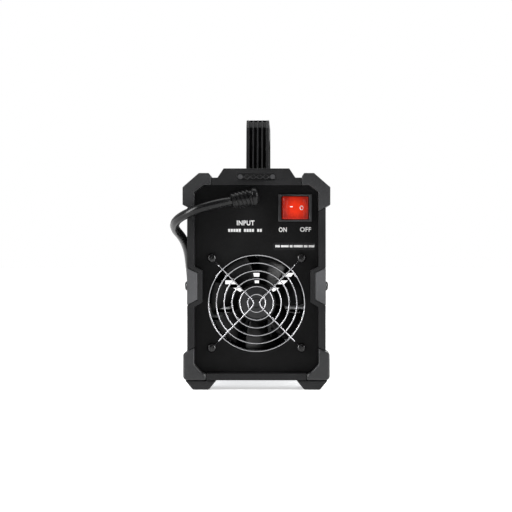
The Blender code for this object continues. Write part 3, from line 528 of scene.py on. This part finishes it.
# %% The lead's route
LEAD_R = 4.25
LEAD_ROUTE = [
    (-19.6, -146.1, 172.6), (-30.1, -151.2, 170.6), (-41.6, -153.3, 167.8), (-53.3, -151.6, 164.2),
    (-64.3, -145.1, 160.0), (-72.2, -134.6, 155.6), (-75.9, -121.4, 151.0), (-75.5, -107.0, 146.4),
    (-72.1, -92.0, 141.3), (-69.0, -77.5, 134.5), (-67.0, -61.5, 124.8), (-66.3, -43.0, 111.0),
    (-66.2, -22.0, 92.5), (-66.2, 0.0, 72.0), (-66.2, 22.0, 51.0), (-66.3, 43.0, 31.5),
    (-66.9, 62.0, 17.0), (-68.2, 80.0, 8.0), (-69.8, 98, 4.6), (-70.6, 115, 4.4),
    (-70.3, 131, 4.4), (-67.8, 146.5, 4.4), (-62.9, 161, 4.4), (-59.0, 175.2, 4.4),
]
COIL_X, COIL_Y = -8.0, 205.0
INNER, OUTER = 41.75, 50.25
LOW, MIDDLE, HIGH = 4.45, 12.95, 21.45
COIL_PLACES = [(OUTER, LOW), (INNER, LOW), (INNER, MIDDLE), (OUTER, MIDDLE), (INNER, HIGH), (OUTER, HIGH)]
STEP_BEFORE = [1.1, 1.3, 1.5, 1.7, 2.2]      # radians before the end of each turn
TURN_POINTS = 54
POINT_SPACING = 5.0
PLUG_TIP = Vector((COIL_X - OUTER, 236.4, 21.05))


def ease(share):
    """A smooth step from 0 to 1."""
    share = min(max(share, 0.0), 1.0)
    return share * share * (3 - 2 * share)


coil_points = []
for number in range(len(STEP_BEFORE) * TURN_POINTS + 1):
    around = tau * number / TURN_POINTS
    turn = min(number // TURN_POINTS, len(STEP_BEFORE) - 1)
    step = ease(around - tau * (turn + 1) + STEP_BEFORE[turn])
    (near_r, near_z), (next_r, next_z) = COIL_PLACES[turn], COIL_PLACES[turn + 1]
    radius = near_r + (next_r - near_r) * step
    coil_points.append((COIL_X - radius * cos(around), COIL_Y + radius * sin(around),
                        near_z + (next_z - near_z) * step))
lead_in = [(PLUG_TIP.x, 214.0, 21.4), (PLUG_TIP.x, 224.0, 21.2), (PLUG_TIP.x, 240.0, 21.05)]


def through(points, spacing):
    """Points about `spacing` apart on a smooth curve through the given ones (a Catmull-Rom curve)."""
    points = [Vector(point) for point in points]
    ends = [points[0] * 2 - points[1]] + points + [points[-1] * 2 - points[-2]]
    found = []
    for a, b, c, d in zip(ends, ends[1:], ends[2:], ends[3:]):
        steps = max(1, round((c - b).length / spacing))
        for number in range(steps):
            t = number / steps
            found.append(0.5 * (2 * b + (c - a) * t + (2 * a - 5 * b + 4 * c - d) * t ** 2
                                + (3 * b - a - 3 * c + d) * t ** 3))
    return found + [points[-1]]


lead_points = [point * MM for point in through(LEAD_ROUTE + coil_points + lead_in, POINT_SPACING)]
lead_length = sum((b - a).length for a, b in zip(lead_points, lead_points[1:]))
print("lead:", len(lead_points), "points,", round(lead_length, 3), "m")

# %% [markdown]
# A curve with a round bevel is the natural way to make a lead, because its thickness stays the same along
# the whole route. The fan guard's crossing wires are made the same way.


# %% The lead itself
def wire_curve(name, paths, radius, sides):
    """Round wires along paths of points in metres, as one curve."""
    data = bpy.data.curves.new(name, "CURVE")
    data.dimensions = "3D"
    data.bevel_depth = radius
    data.bevel_resolution = sides
    data.use_fill_caps = True
    for path in paths:
        spline = data.splines.new("POLY")
        spline.points.add(len(path) - 1)
        for point, place in zip(spline.points, path):
            point.co = (*place, 1)
        spline.use_smooth = True
    curve = bpy.data.objects.new(name, data)
    bpy.context.scene.collection.objects.link(curve)
    return curve


lead = wire_curve("mains_lead", [lead_points], LEAD_R * MM, sides=4)
lead.data.materials.append(FINISHES["lead_rubber"])
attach(lead, CASE)
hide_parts("power_cord", "power_cord_coil")

# %% [markdown]
# The strain relief is a right-angled boot. Its round collar stands on edge against the panel, a short neck
# behind it goes through the panel, and five skewed ribs get smaller towards the tip, so that it bends
# without a kink. The collar and the core are turned, and each rib is a thin turned ring, tilted.

# %% Boot
BOOT_ROOT = Vector((-2.4, -138.4, 175.9))
BOOT_TIP = Vector(LEAD_ROUTE[0])
boot_way = (BOOT_TIP - BOOT_ROOT).normalized()
boot_turn = boot_way.to_track_quat("Z", "Y").to_euler()
collar_turn = Vector((-1, -0.12, -0.06)).to_track_quat("Z", "Y").to_euler()
collar = turned("boot_collar", [(7.6, -2.8), (8.9, -2.3), (9.4, -1.2), (9.4, 1.4), (9.0, 2.2), (8.0, 2.8)],
                BOOT_ROOT, tuple(collar_turn), 28)
core_long = (BOOT_TIP - BOOT_ROOT).length
core = turned("boot_core", [(7.8, 1.0), (7.6, 8.0), (6.9, core_long - 1.5), (6.0, core_long + 2.8),
                            (5.1, core_long + 3.9), (4.4, core_long + 3.9)],
              BOOT_ROOT, tuple(boot_turn), 24)
neck = turned("boot_neck", [(8.2, 0), (8.2, 8.4), (8.0, 9.2), (8.0, 21.0)], (-5.5, -138.4, 175.6), "+Y", 24)
ribs = []
RIB_PLACES = [(5.2, 9.1), (9.0, 8.8), (12.9, 8.4), (16.6, 7.9), (20.2, 7.2)]      # along the boot, radius
skew = Vector((-1, -0.20, -0.46)).to_track_quat("Z", "Y").to_euler()
for number, (along, size) in enumerate(RIB_PLACES):
    rib = turned(f"boot_rib_{number}", [(size - 0.9, -1.1), (size - 0.2, -0.8), (size, 0.0),
                                        (size - 0.2, 0.8), (size - 0.9, 1.1)],
                 BOOT_ROOT + boot_way * along, tuple(skew), 24)
    ribs.append(rib)
boot = smooth(joined(collar, core, neck, *ribs), 40)
hand_over(boot, "strain_relief_boot", "lead_rubber", "cord_grip")

# %% [markdown]
# The plug is a plain round two-pin plug, lying beside the coil. Its body is turned in one go, its grip gets
# flutes by sinking every third strip of faces, and the pins are turned with rounded tips.

# %% Plug
PLUG_SIDES, PLUG_LONG, PIN_APART = 36, 66.0, 9.5
GRIP_FROM, GRIP_TO = 36, 60
PLUG_RINGS = [(4.6, 0), (5.6, 0.8), (5.9, 6), (6.5, 12), (7.2, 19), (8.0, 25), (10.6, 27.5), (15.0, 29.4),
              (18.4, 31.8), (19.6, 34.5), (19.9, 38), (19.4, 50), (19.7, 60), (19.7, 64), (19.0, 65.4),
              (17.4, PLUG_LONG)]
plug_body = turned("plug_body", PLUG_RINGS, PLUG_TIP, "+Y", PLUG_SIDES)
edit(plug_body)
plug_axis = PLUG_TIP * MM


def is_flute(face):
    """Every third strip of the faces along the grip."""
    along = (face.center.y - plug_axis.y) / MM
    around = Vector((face.center.x - plug_axis.x, face.center.z - plug_axis.z)).angle_signed(Vector((1, 0)))
    strip = int((around / tau * PLUG_SIDES) % PLUG_SIDES + 0.01)
    return GRIP_FROM < along < GRIP_TO and strip % 3 == 0


fluted = pick(plug_body, "polygons", is_flute)
bpy.ops.mesh.inset(thickness=0.0004, depth=-0.0008, use_individual=False)
bpy.ops.object.mode_set(mode="OBJECT")
sleeve_rings = [turned(f"sleeve_ring_{number}", [(6.1 + 0.25 * number, -0.7), (6.7 + 0.3 * number, 0),
                                                (6.3 + 0.27 * number, 0.8)],
                       PLUG_TIP + Vector((0, 4 + 4.4 * number, 0)), "+Y", 24) for number in range(5)]
smooth(joined(plug_body, *sleeve_rings), 40)
pin_feet = [PLUG_TIP + Vector((side * PIN_APART, PLUG_LONG, 0)) for side in (-1, 1)]
pins = [turned(f"plug_pin_{number}", [(2.4, -2), (2.4, 18.6), (1.9, 20.4), (0.9, 21.0)], foot, "+Y", 16)
        for number, foot in enumerate(pin_feet)]
collars = [turned(f"pin_collar_{number}", [(3.4, -1.0), (3.4, 0.9), (3.0, 1.4), (2.5, 1.4)], foot, "+Y", 20)
           for number, foot in enumerate(pin_feet)]
for pin in pins:
    pin.data.materials.append(FINISHES["zinc_steel"])
for piece in [plug_body] + collars:
    piece.data.materials.append(FINISHES["lead_rubber"])
plug = smooth(joined(plug_body, *collars, *pins), 40)
hand_over(plug, "two_pin_plug", "lead_rubber", "mains_plug")
print("plug flutes:", fluted, "faces")

# %% [markdown]
# A soft strap goes round all the turns of the coil. It is a loop of flat band: a block with its corners
# rounded, hollowed by deleting its two open sides and giving the shell a thickness.

# %% Coil strap
strap = block("coil_strap", (28.0, 200.2, 0.1), (48.0, 209.8, 27.2))
edit(strap)
pick(strap, "polygons", lambda face: abs(face.normal.y) > 0.9)
bpy.ops.mesh.delete(type="FACE")
bpy.ops.object.mode_set(mode="OBJECT")
edit(strap, "EDGE")
pick(strap, "edges", lambda edge: abs((strap.data.vertices[edge.vertices[0]].co
                                       - strap.data.vertices[edge.vertices[1]].co).y) > 0.005)
bpy.ops.mesh.bevel(offset=3.4 * MM, segments=5)
bpy.ops.object.mode_set(mode="OBJECT")
modify(strap, "SOLIDIFY", thickness=1.1 * MM, offset=-1)
modify(strap, "BEVEL", width=0.3 * MM, segments=2, limit_method="ANGLE", angle_limit=radians(50))
hand_over(smooth(strap, 40), "coil_strap", "lead_rubber", "cord_tie")

# %% [markdown]
# ## Case, frames and guards
#
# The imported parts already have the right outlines, so the big mouldings are made from merged copies of them.
# What they lack is what makes plastic look moulded: every edge has a small radius that catches the light. A
# bevel by angle gives that to the end frames, the corner guards, the clips, the feet and the handle. Sheet
# metal gets a much finer one. The front panel and the base tray are full of slots, which a merged copy would
# fill, so they stay as packed.

# %% Mouldings and sheets
ENDS = ("front", "rear")
SIDES = ("left", "right")
MOULDINGS = [(f"{end}_end_frame", "frame_plastic", 1.0) for end in ENDS]
MOULDINGS += [(f"{end}_{level}_guard_{side}", "guard_plastic", 1.5)
              for end in ENDS for level in ("upper", "lower") for side in SIDES]
MOULDINGS += [(f"{end}_clip_{side}", "clip_plastic", 0.8) for end in ENDS for side in SIDES]
MOULDINGS += [(f"{end}_foot_{side}", "foot_rubber", 0.9) for end in ENDS for side in SIDES]
MOULDINGS += [("carry_handle", "handle_plastic", 0.6), ("fan_frame", "fan_plastic", 0.5),
              ("switch_frame", "switch_plastic", 0.5), ("rear_panel", "powder_coat", 0.25),
              ("housing_cover", "powder_coat", 0.35), ("display_window", "display_plastic", 0.6)]
for node, finish_name, edge in MOULDINGS:
    hand_over(softened(node, edge), node + "_moulded", finish_name, node)

# %% [markdown]
# The cover's vents are pressed inwards: under each slot's upper edge a slat leans in and down, which lets
# air through and keeps drops out. One slat is a rounded plate; the others are the same plate elsewhere.

# %% Vent slats
COVER_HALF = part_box("housing_cover")[1][0] / MM
SLOT_STARTS = (-52.0, 8.0)
SLOT_ROWS, FIRST_SLOT_TOP, SLOT_PITCH = 6, 66.0, 11.0
SLAT_LEAN = radians(42)
slats = []
for hand in (-1, 1):
    for low_y in SLOT_STARTS:
        for row in range(SLOT_ROWS):
            slat = block(f"slat_{hand}_{low_y}_{row}", (-0.35, 0.4, -4.6), (0.35, 43.6, 0.3), 0.25)
            slat.rotation_euler = (0, hand * SLAT_LEAN, 0)
            place = (hand * (COVER_HALF - 1.0), low_y, FIRST_SLOT_TOP + SLOT_PITCH * row)
            slat.location = Vector(place) * MM
            slats.append(settle(slat))
hand_over(joined(slats[0], *slats[1:]), "cover_slats", "powder_coat")

# %% [markdown]
# ## Fan
#
# Behind the guard turns a seven-bladed fan. A blade is a thin sheet that sweeps round the hub while it
# twists: a grid has its points carried to their places by radius and angle, then gets a wall. The hub is
# turned, with a step at its rim and a plain paler disc on its face.

# %% Fan blades
FAN_X, FAN_Y, FAN_Z = 0.0, -113.7, 78.9
HUB_R, BLADE_R, BLADES = 18.0, 43.1, 7
BLADE_START, BLADE_SPAN, BLADE_SWEEP = radians(-19.5), radians(39), radians(6)
BLADE_ROOT, BLADE_RISE, BLADE_BELLY = -8.3, 13.0, 1.4


def blade(number):
    """One swept blade, from the hub out, in the fan's own place."""
    clear_selection()
    bpy.ops.mesh.primitive_grid_add(x_subdivisions=12, y_subdivisions=8, size=1)
    piece = bpy.context.object
    piece.name = f"blade_{number}"
    start = tau * (number + 0.5) / BLADES + pi / 2 + BLADE_START
    for vertex in piece.data.vertices:
        across, outward = vertex.co.x + 0.5, vertex.co.y + 0.5
        radius = HUB_R - 1.0 + (BLADE_R - HUB_R + 1.0) * outward
        angle = start + BLADE_SPAN * across + BLADE_SWEEP * outward ** 2
        belly = BLADE_BELLY * sin(pi * across)
        depth = BLADE_ROOT + BLADE_RISE * across + belly * outward
        vertex.co = Vector((FAN_X + radius * cos(angle), FAN_Y + depth, FAN_Z + radius * sin(angle))) * MM
    modify(piece, "SOLIDIFY", thickness=1.3 * MM, offset=0)
    modify(piece, "BEVEL", width=0.35 * MM, segments=2, limit_method="ANGLE", angle_limit=radians(60))
    return piece


blades = [blade(number) for number in range(BLADES)]
hub = turned("hub", [(HUB_R - 0.6, -8.0), (HUB_R, -7.2), (HUB_R, 8.6), (HUB_R - 0.5, 9.6),
                     (HUB_R - 1.6, 10.2), (HUB_R - 2.2, 10.2), (HUB_R - 2.5, 9.6), (4.0, 9.6), (3.4, 8.8)],
             (FAN_X, FAN_Y, FAN_Z), "-Y", 56)
hub_disc = turned("hub_disc", [(14.2, 9.5), (14.2, 9.75), (14.0, 9.85), (4.6, 9.85), (4.4, 9.6)],
                  (FAN_X, FAN_Y, FAN_Z), "-Y", 48)
hub_disc.data.materials.append(FINISHES["switch_plastic"])
for piece in [hub] + blades:
    piece.data.materials.append(FINISHES["fan_plastic"])
impeller = smooth(joined(hub, hub_disc, *blades), 35)
hand_over(impeller, "fan_wheel", "fan_plastic", "fan_impeller", body="impeller")

# %% [markdown]
# The guard is bright wire: six rings, two long V-shaped wires that cross them, and an eye under each screw.
# Rings are tori, and the V wires are a curve made into a mesh. They cross in front of the rings, and dip to
# the panel at their ends.

# %% Fan guard
GUARD_WIRE = 0.67
RING_Y, SPOKE_Y, EYELET_Y = -132.2, -133.6, -129.1
GUARD_RINGS = [8.2 + 7.2 * number for number in range(6)]
SCREW_PITCH, EYELET_R = 41.25, 3.3
SCREW_PLACES = {"lower_left": (-1, -1), "lower_right": (1, -1), "upper_left": (-1, 1), "upper_right": (1, 1)}


def wire_ring(name, radius, place, steps):
    """A ring of guard wire that faces the rear."""
    clear_selection()
    bpy.ops.mesh.primitive_torus_add(major_radius=radius * MM, minor_radius=GUARD_WIRE * MM,
                                     major_segments=steps, minor_segments=10,
                                     location=Vector(place) * MM, rotation=(pi / 2, 0, 0))
    ring = bpy.context.object
    ring.name = name
    return settle(ring)


def spoke_path(side):
    """A V wire: from one eye to a rounded point near the middle and out to the other eye."""
    corner = SCREW_PITCH - EYELET_R * cos(pi / 4)
    arm = [(corner, EYELET_Y, corner), (corner - 1.2, EYELET_Y - 0.2, corner - 1.2),
           (corner - 3.2, EYELET_Y - 2.2, corner - 3.2), (33.0, SPOKE_Y, 33.0), (20.0, SPOKE_Y, 19.6),
           (7.4, SPOKE_Y, 6.9), (4.4, SPOKE_Y, 3.6), (3.2, SPOKE_Y, 1.6)]
    lower = [(x, y, -z) for x, y, z in reversed(arm)]
    path = arm + [(2.9, SPOKE_Y, 0)] + lower
    return [point * MM for point in through([(side * x, y, FAN_Z + z) for x, y, z in path], 1.2)]


rings = [wire_ring(f"guard_ring_{number}", radius, (0, RING_Y, FAN_Z), 72)
         for number, radius in enumerate(GUARD_RINGS)]
eyes = [wire_ring(f"guard_eye_{name}", EYELET_R, (x * SCREW_PITCH, EYELET_Y, FAN_Z + z * SCREW_PITCH), 28)
        for name, (x, z) in SCREW_PLACES.items()]
spokes = wire_curve("guard_spokes", [spoke_path(-1), spoke_path(1)], GUARD_WIRE * MM, sides=3)
only(spokes)
bpy.ops.object.convert(target="MESH")
spokes = bpy.context.object
guard = smooth(joined(rings[0], *rings[1:], *eyes, spokes), 60)
hand_over(guard, "wire_guard", "chrome_wire", "fan_guard")

# %% [markdown]
# ## Screws
#
# Every screw has a rounded head and a cross recess. The head is turned, and the recess is cut with a
# boolean from two tapered bars. One screw is made for each size and then copied, with its own mesh, to its
# places.


# %% A screw and its copies
def cross_screw(name, head_r, head_high, shank, recess=0.48):
    """A pan-head screw with a cross recess, its head's underside at the origin, pointing up."""
    screw = turned(name, [(shank * 0.9, -5.5), (shank, -5.0), (shank, 0), (head_r - 0.25, 0), (head_r, 0.3),
                          (head_r * 0.94, head_high * 0.45), (head_r * 0.76, head_high * 0.78),
                          (head_r * 0.45, head_high * 0.96), (head_r * 0.16, head_high)], (0, 0, 0), "+Z", 32)
    arm, width = head_r * recess, head_r * 0.13
    bars = []
    for quarter in range(2):
        bar = block(f"{name}_bar_{quarter}", (-arm, -width, head_high * 0.25), (arm, width, head_high + 2))
        bar.rotation_euler = (0, 0, pi / 4 + quarter * pi / 2)
        bars.append(settle(bar))
    for bar in bars:
        modify(screw, "BOOLEAN", operation="DIFFERENCE", object=bar, solver="EXACT")
        bpy.data.objects.remove(bar)
    return smooth(screw, 32)


def placed(model, name, place, aim, turn=0.0):
    """A copy of a piece with its own mesh, turned about its axis, aimed and put in its place."""
    copy = bpy.data.objects.new(name, model.data.copy())
    bpy.context.scene.collection.objects.link(copy)
    copy.matrix_world = (Matrix.Translation(Vector(place) * MM) @ Vector(aim).to_track_quat("Z", "Y")
                         .to_matrix().to_4x4() @ Matrix.Rotation(turn, 4, "Z"))
    return settle(copy)


fan_screw = cross_screw("fan_screw_model", 4.25, 2.9, 1.9)
for number, (name, (x, z)) in enumerate(SCREW_PLACES.items()):
    screw = placed(fan_screw, "pan_screw_" + name, (x * SCREW_PITCH, EYELET_Y - 1.1, FAN_Z + z * SCREW_PITCH),
                   (0, -1, 0), 0.35 + 0.8 * number)
    hand_over(screw, "pan_screw_" + name, "black_screw", "fan_screw_" + name)

CLIP_FACE_X, HANDLE_BOLT_DOWN = 63.3, 8.6
clip_screw = cross_screw("clip_screw_model", 4.4, 2.3, 1.9)
for end, way in (("front", 1), ("rear", -1)):
    for side, hand in (("left", -1), ("right", 1)):
        node = f"{end}_clip_screw_{side}"
        middle = middle_of(node)
        place = (hand * CLIP_FACE_X, middle.y, middle.z)
        screw = placed(clip_screw, "side_screw", place, (hand, 0, 0), 0.5 * way + hand)
        hand_over(screw, f"{end}_side_screw_{side}", "black_screw", node)

top_screw = cross_screw("handle_screw_model", 4.3, 2.2, 1.9)
for end in ENDS:
    node = f"handle_screw_{end}"
    middle, top = middle_of(node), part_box(node)[1][2] / MM
    screw = placed(top_screw, "inner_screw", (middle.x, middle.y, top - HANDLE_BOLT_DOWN), (0, 0, -1), 0.4)
    hand_over(screw, f"handle_bolt_{end}", "zinc_steel", node)
for model in (fan_screw, clip_screw, top_screw):
    bpy.data.objects.remove(model)

# %% [markdown]
# ## Mains switch
#
# The rocker is one shallow V of clear red plastic that tilts in a grey frame. Its marks are a short bar on
# the ON half and a ring on the OFF half, moulded proud and filled with white. Fine ribs run down both ends
# for a fingertip.

# %% Rocker and its marks
TILT = Matrix.Rotation(radians(10), 4, "Z")


def on_rocker(piece):
    """Tilt a piece made flat at the origin with the rocker, and put it in the switch."""
    piece.matrix_world = Matrix.Translation(ROCKER_PIVOT) @ TILT @ piece.matrix_world
    return settle(piece)


rocker = softened("switch_rocker", 0.8, 3)
rocker.data.materials.append(FINISHES["rocker_red"])
grips = []
for hand in (-1, 1):
    for number in range(4):
        x = hand * (7.6 + 1.15 * number)
        rise = 1.4 + 1.8 * abs(x) / 11.9
        grips.append(on_rocker(block(f"rocker_grip_{hand}_{number}", (x - 0.3, -rise - 0.30, -8.6),
                                     (x + 0.3, -rise + 0.3, 8.6), 0.2)))
for grip in grips:
    grip.data.materials.append(FINISHES["rocker_red"])
rocker = smooth(joined(rocker, *grips), 40)
hand_over(rocker, "rocker_key", "rocker_red", "switch_rocker", body="rocker")

bar = on_rocker(block("on_mark", (-5.2, -2.22, 0.55), (-2.5, -1.7, 1.45), 0.1))
clear_selection()
bpy.ops.mesh.primitive_torus_add(major_radius=1.45 * MM, minor_radius=0.34 * MM, major_segments=32,
                                 minor_segments=8, rotation=(pi / 2, 0, 0), location=(0.0056, -0.00222, 0))
ring_mark = settle(bpy.context.object)
ring_mark.scale = (1, 1, 1.2)
ring_mark = on_rocker(settle(ring_mark))
marks = smooth(joined(bar, ring_mark), 50)
hand_over(marks, "rocker_marks", "print_white", body="rocker")

# %% [markdown]
# ## Printing on the panel
#
# The rear panel is screen printed in white. Only the plain words are kept: INPUT by the lead, and ON and OFF
# by the switch. The line of ratings and the label below the switch are plain bars. Text is made a mesh and
# stands a few hundredths of a millimetre proud, as ink does.


# %% Printed words and bars
PANEL_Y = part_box("rear_panel")[0][1] / MM


def printed(word, middle, width, height, aim=(pi / 2, 0, 0)):
    """A word in plain capitals, centred on a point, made to a width and a height in millimetres."""
    clear_selection()
    bpy.ops.object.text_add(location=(0, 0, 0))
    text = bpy.context.object
    text.data.body = word
    text.data.extrude = 0.02
    text.data.offset = 0.022
    text.data.space_character = 1.08
    text.data.resolution_u = 4
    bpy.ops.object.convert(target="MESH")
    text = bpy.context.object
    corners = [Vector(corner) for corner in text.bound_box]
    low = Vector(min(corner[axis] for corner in corners) for axis in range(3))
    high = Vector(max(corner[axis] for corner in corners) for axis in range(3))
    text.data.transform(Matrix.Translation(-(low + high) / 2))
    text.scale = (width * MM / (high.x - low.x), height * MM / (high.y - low.y), 0.0012)
    settle(text)
    text.rotation_euler = aim
    text.location = Vector(middle) * MM
    return settle(text)


ink_y = PANEL_Y - 0.02
words = [printed("INPUT", (-10.1, ink_y, 152.6), 16.2, 4.5), printed("ON", (24.0, ink_y, 146.4), 7.4, 4.3),
         printed("OFF", (45.0, ink_y, 146.6), 10.2, 4.3)]
bars = []
BARS_LEFT, BAR_PITCH, BAR_WIDE, BAR_GAPS = -26.2, 2.42, 1.9, (5, 10)
for number in range(13):
    left = BARS_LEFT + BAR_PITCH * number
    if number not in BAR_GAPS:
        bars.append(block(f"rating_bar_{number}", (left, PANEL_Y - 0.04, 144.4),
                          (left + BAR_WIDE, PANEL_Y + 0.02, 147.1)))
print_lines = joined(words[0], *words[1:], *bars)
hand_over(print_lines, "panel_print", "print_white")

# %% [markdown]
# The label is a thin dark film with rounded corners, and its line of print is left as plain bars of uneven
# length. The bumper's slot has a row of shallow crossed ribs at its bottom, which stiffen the moulding there,
# and a round boss at each end, given the clips' paler finish as a painted highlight on the slot's rounded
# ends.

# %% Label and slot ribs
film = block("label_film", (15.4, PANEL_Y - 0.14, 127.8), (54.0, PANEL_Y + 0.02, 134.4), 0.05)
film.data.materials.append(FINISHES["label_film"])
label_bars = []
left = 17.2
for number, width in enumerate((4.2, 7.0, 2.6, 8.4, 3.4, 5.2)):
    label_bars.append(block(f"label_bar_{number}", (left, PANEL_Y - 0.17, 130.2),
                            (left + width, PANEL_Y - 0.1, 132.2)))
    left += width + 1.0
for bar in label_bars:
    bar.data.materials.append(FINISHES["print_white"])
hand_over(joined(film, *label_bars), "rating_label", "label_film")

SLOT_Z, SLOT_FLOOR = 194.7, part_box("rear_end_frame")[0][1] / MM + 3.0
slot_ribs = []
for number in range(5):
    for lean in (-1, 1):
        rib = block(f"slot_rib_{number}_{lean}", (-3.4, -0.9, -0.35), (3.4, 0.35, 0.35), 0.2)
        rib.rotation_euler = (0, lean * radians(38), 0)
        rib.location = Vector((-11.6 + 5.8 * number, SLOT_FLOOR, SLOT_Z)) * MM
        slot_ribs.append(settle(rib))
for side in (-1, 1):
    boss_rings = [(2.3, 1.0), (2.3, -0.6), (1.9, -0.9), (0.9, -0.9), (0.7, -0.4)]
    slot_ribs.append(turned(f"slot_boss_painted_highlight_{side}", boss_rings, (side * 15.0, SLOT_FLOOR, SLOT_Z), "-Y", 24))
    # The bosses take the clips' paler finish as a painted highlight.
    slot_ribs[-1].data.materials.append(FINISHES["clip_plastic"])
for rib in slot_ribs[:-2]:
    rib.data.materials.append(FINISHES["guard_plastic"])
hand_over(smooth(joined(slot_ribs[0], *slot_ribs[1:]), 40), "bumper_slot_ribs", "guard_plastic")

# %% [markdown]
# ## Front controls
#
# The front is plain: a current knob on a printed scale, a dark display window, an amber lamp and the two
# output sockets. The knob is turned, and its skirt gets its grip from sinking every second pair of faces.

# %% Knob
KNOB_PLACE = (0.0, 119.0, 128.0)
KNOB_SIDES = 72
knob = turned("knob", [(16.3, 0.1), (16.5, 0.4), (16.5, 3.4), (16.0, 4.0), (14.4, 4.3), (13.8, 5.2),
                       (13.4, 14.2), (12.8, 15.4), (11.6, 15.9), (8.6, 15.9), (8.2, 15.5)],
              KNOB_PLACE, "+Y", KNOB_SIDES)
edit(knob)


def is_knob_flute(face):
    """Pairs of faces on the grip, with a land between them."""
    outward = Vector((face.center.x / MM, face.center.z / MM - KNOB_PLACE[2]))
    along = face.center.y / MM - KNOB_PLACE[1]
    around = outward.angle_signed(Vector((0, 1)))
    strip = int((around / tau * KNOB_SIDES) % KNOB_SIDES + 0.01)
    return 5.4 < along < 14.0 and strip % 4 < 2 and abs(around) > 0.22


pick(knob, "polygons", is_knob_flute)
bpy.ops.mesh.inset(thickness=0.00015, depth=-0.0007, use_individual=False)
bpy.ops.object.mode_set(mode="OBJECT")
knob.data.materials.append(FINISHES["knob_plastic"])
pointer = block("knob_pointer", (-0.8, 133.9, 131.6), (0.8, 134.98, 140.6), 0.25)
pointer.data.materials.append(FINISHES["print_white"])
hand_over(smooth(joined(knob, pointer), 35), "current_dial", "knob_plastic", "current_knob", body="knob")

# %% [markdown]
# The knob's scale has a tick for each tenth of its turn, with longer ones at its ends and its middle. A plus
# and a minus mark the output sockets. All of it is thin print, as on the rear panel.

# %% Scale, sockets' marks and front print
FRONT_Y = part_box("front_panel")[1][1] / MM
PLUS_X = middle_of("output_socket_plus_collar").x
TURN_FROM, TURN_STEP = -135, 27
ticks = []
for number in range(11):
    lean = radians(TURN_FROM + TURN_STEP * number)
    long_tick = number % 5 == 0
    tick = block(f"dial_tick_{number}", (-0.35, -0.02, 19.0), (0.35, 0.05, 22.4 if long_tick else 21.2))
    tick.rotation_euler = (0, -lean, 0)
    tick.location = Vector((0, FRONT_Y, KNOB_PLACE[2])) * MM
    ticks.append(settle(tick))
FACING_FRONT = (pi / 2, 0, pi)
ticks += [printed("MIN", (17.5, FRONT_Y + 0.02, 106.5), 6.4, 2.8, FACING_FRONT),
          printed("MAX", (-17.5, FRONT_Y + 0.02, 106.5), 6.8, 2.8, FACING_FRONT)]
for x in (-28.0, 28.0):
    ticks.append(block(f"polarity_{x}", (x - 3.0, FRONT_Y - 0.02, 65.6), (x + 3.0, FRONT_Y + 0.05, 66.8)))
    if PLUS_X * x > 0:
        ticks.append(block("polarity_bar", (x - 0.6, FRONT_Y - 0.02, 63.2), (x + 0.6, FRONT_Y + 0.05, 69.2)))
hand_over(joined(ticks[0], *ticks[1:]), "front_print", "print_white")

# %% [markdown]
# The sockets are quick-fit welding sockets: a black collar with a toothed rim, and a brass insert. Both are
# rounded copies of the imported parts, and the teeth are added. The lamp is a domed amber lens in a thin black
# bezel.

# %% Sockets and lamp
TEETH = 18
for pole in ("plus", "minus"):
    node = f"output_socket_{pole}_collar"
    collar = softened(node, 0.7, 3)
    place = middle_of(node)
    face_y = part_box(node)[1][1] / MM
    teeth = []
    for number in range(TEETH):
        around = tau * number / TEETH
        tooth = block(f"tooth_{number}", (15.6, face_y - 11.5, -1.1), (16.9, face_y - 2.4, 1.1), 0.35)
        tooth.rotation_euler = (0, around, 0)
        tooth.location = Vector((place.x, 0, place.z)) * MM
        teeth.append(settle(tooth))
    hand_over(smooth(joined(collar, *teeth), 35), f"socket_{pole}_collar", "knob_plastic", node)
    insert = f"output_socket_{pole}_insert"
    hand_over(softened(insert, 0.3), f"socket_{pole}_insert", "brass", insert)

lamp_low, lamp_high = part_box("warning_lamp")
lamp_place = middle_of("warning_lamp")
lamp_r = (lamp_high[0] - lamp_low[0]) / 2 / MM
lamp_front = lamp_high[1] / MM
lens = turned("lens", [(lamp_r - 0.9, -8.0), (lamp_r - 0.9, -3.0), (lamp_r - 0.8, -1.2), (lamp_r - 1.4, -0.4),
                       (lamp_r - 2.6, -0.1), (0.4, 0.0)],
              (lamp_place.x, lamp_front, lamp_place.z), "+Y", 40)
lens.data.materials.append(FINISHES["lamp_amber"])
bezel = wire_ring("lamp_bezel", lamp_r - 0.75, (lamp_place.x, FRONT_Y + 0.6, lamp_place.z), 40)
bezel.data.materials.append(FINISHES["knob_plastic"])
hand_over(smooth(joined(lens, bezel), 40), "front_lamp", "lamp_amber", "warning_lamp")

# %% [markdown]
# ## Parts that stay as packed
#
# What is inside the case shows only through the fan and the vents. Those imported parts, the front panel and
# the base tray keep their meshes, and take this file's finishes in place of their plain colours.

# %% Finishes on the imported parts
dressed = 0
for node in nodes.values():
    for material_slot in node.material_slots:
        finish_name = material_slot.material.name.split(".")[0] if material_slot.material else None
        if finish_name in FINISHES:
            material_slot.material = FINISHES[finish_name]
            dressed += 1
print(dressed, "packed slots dressed")
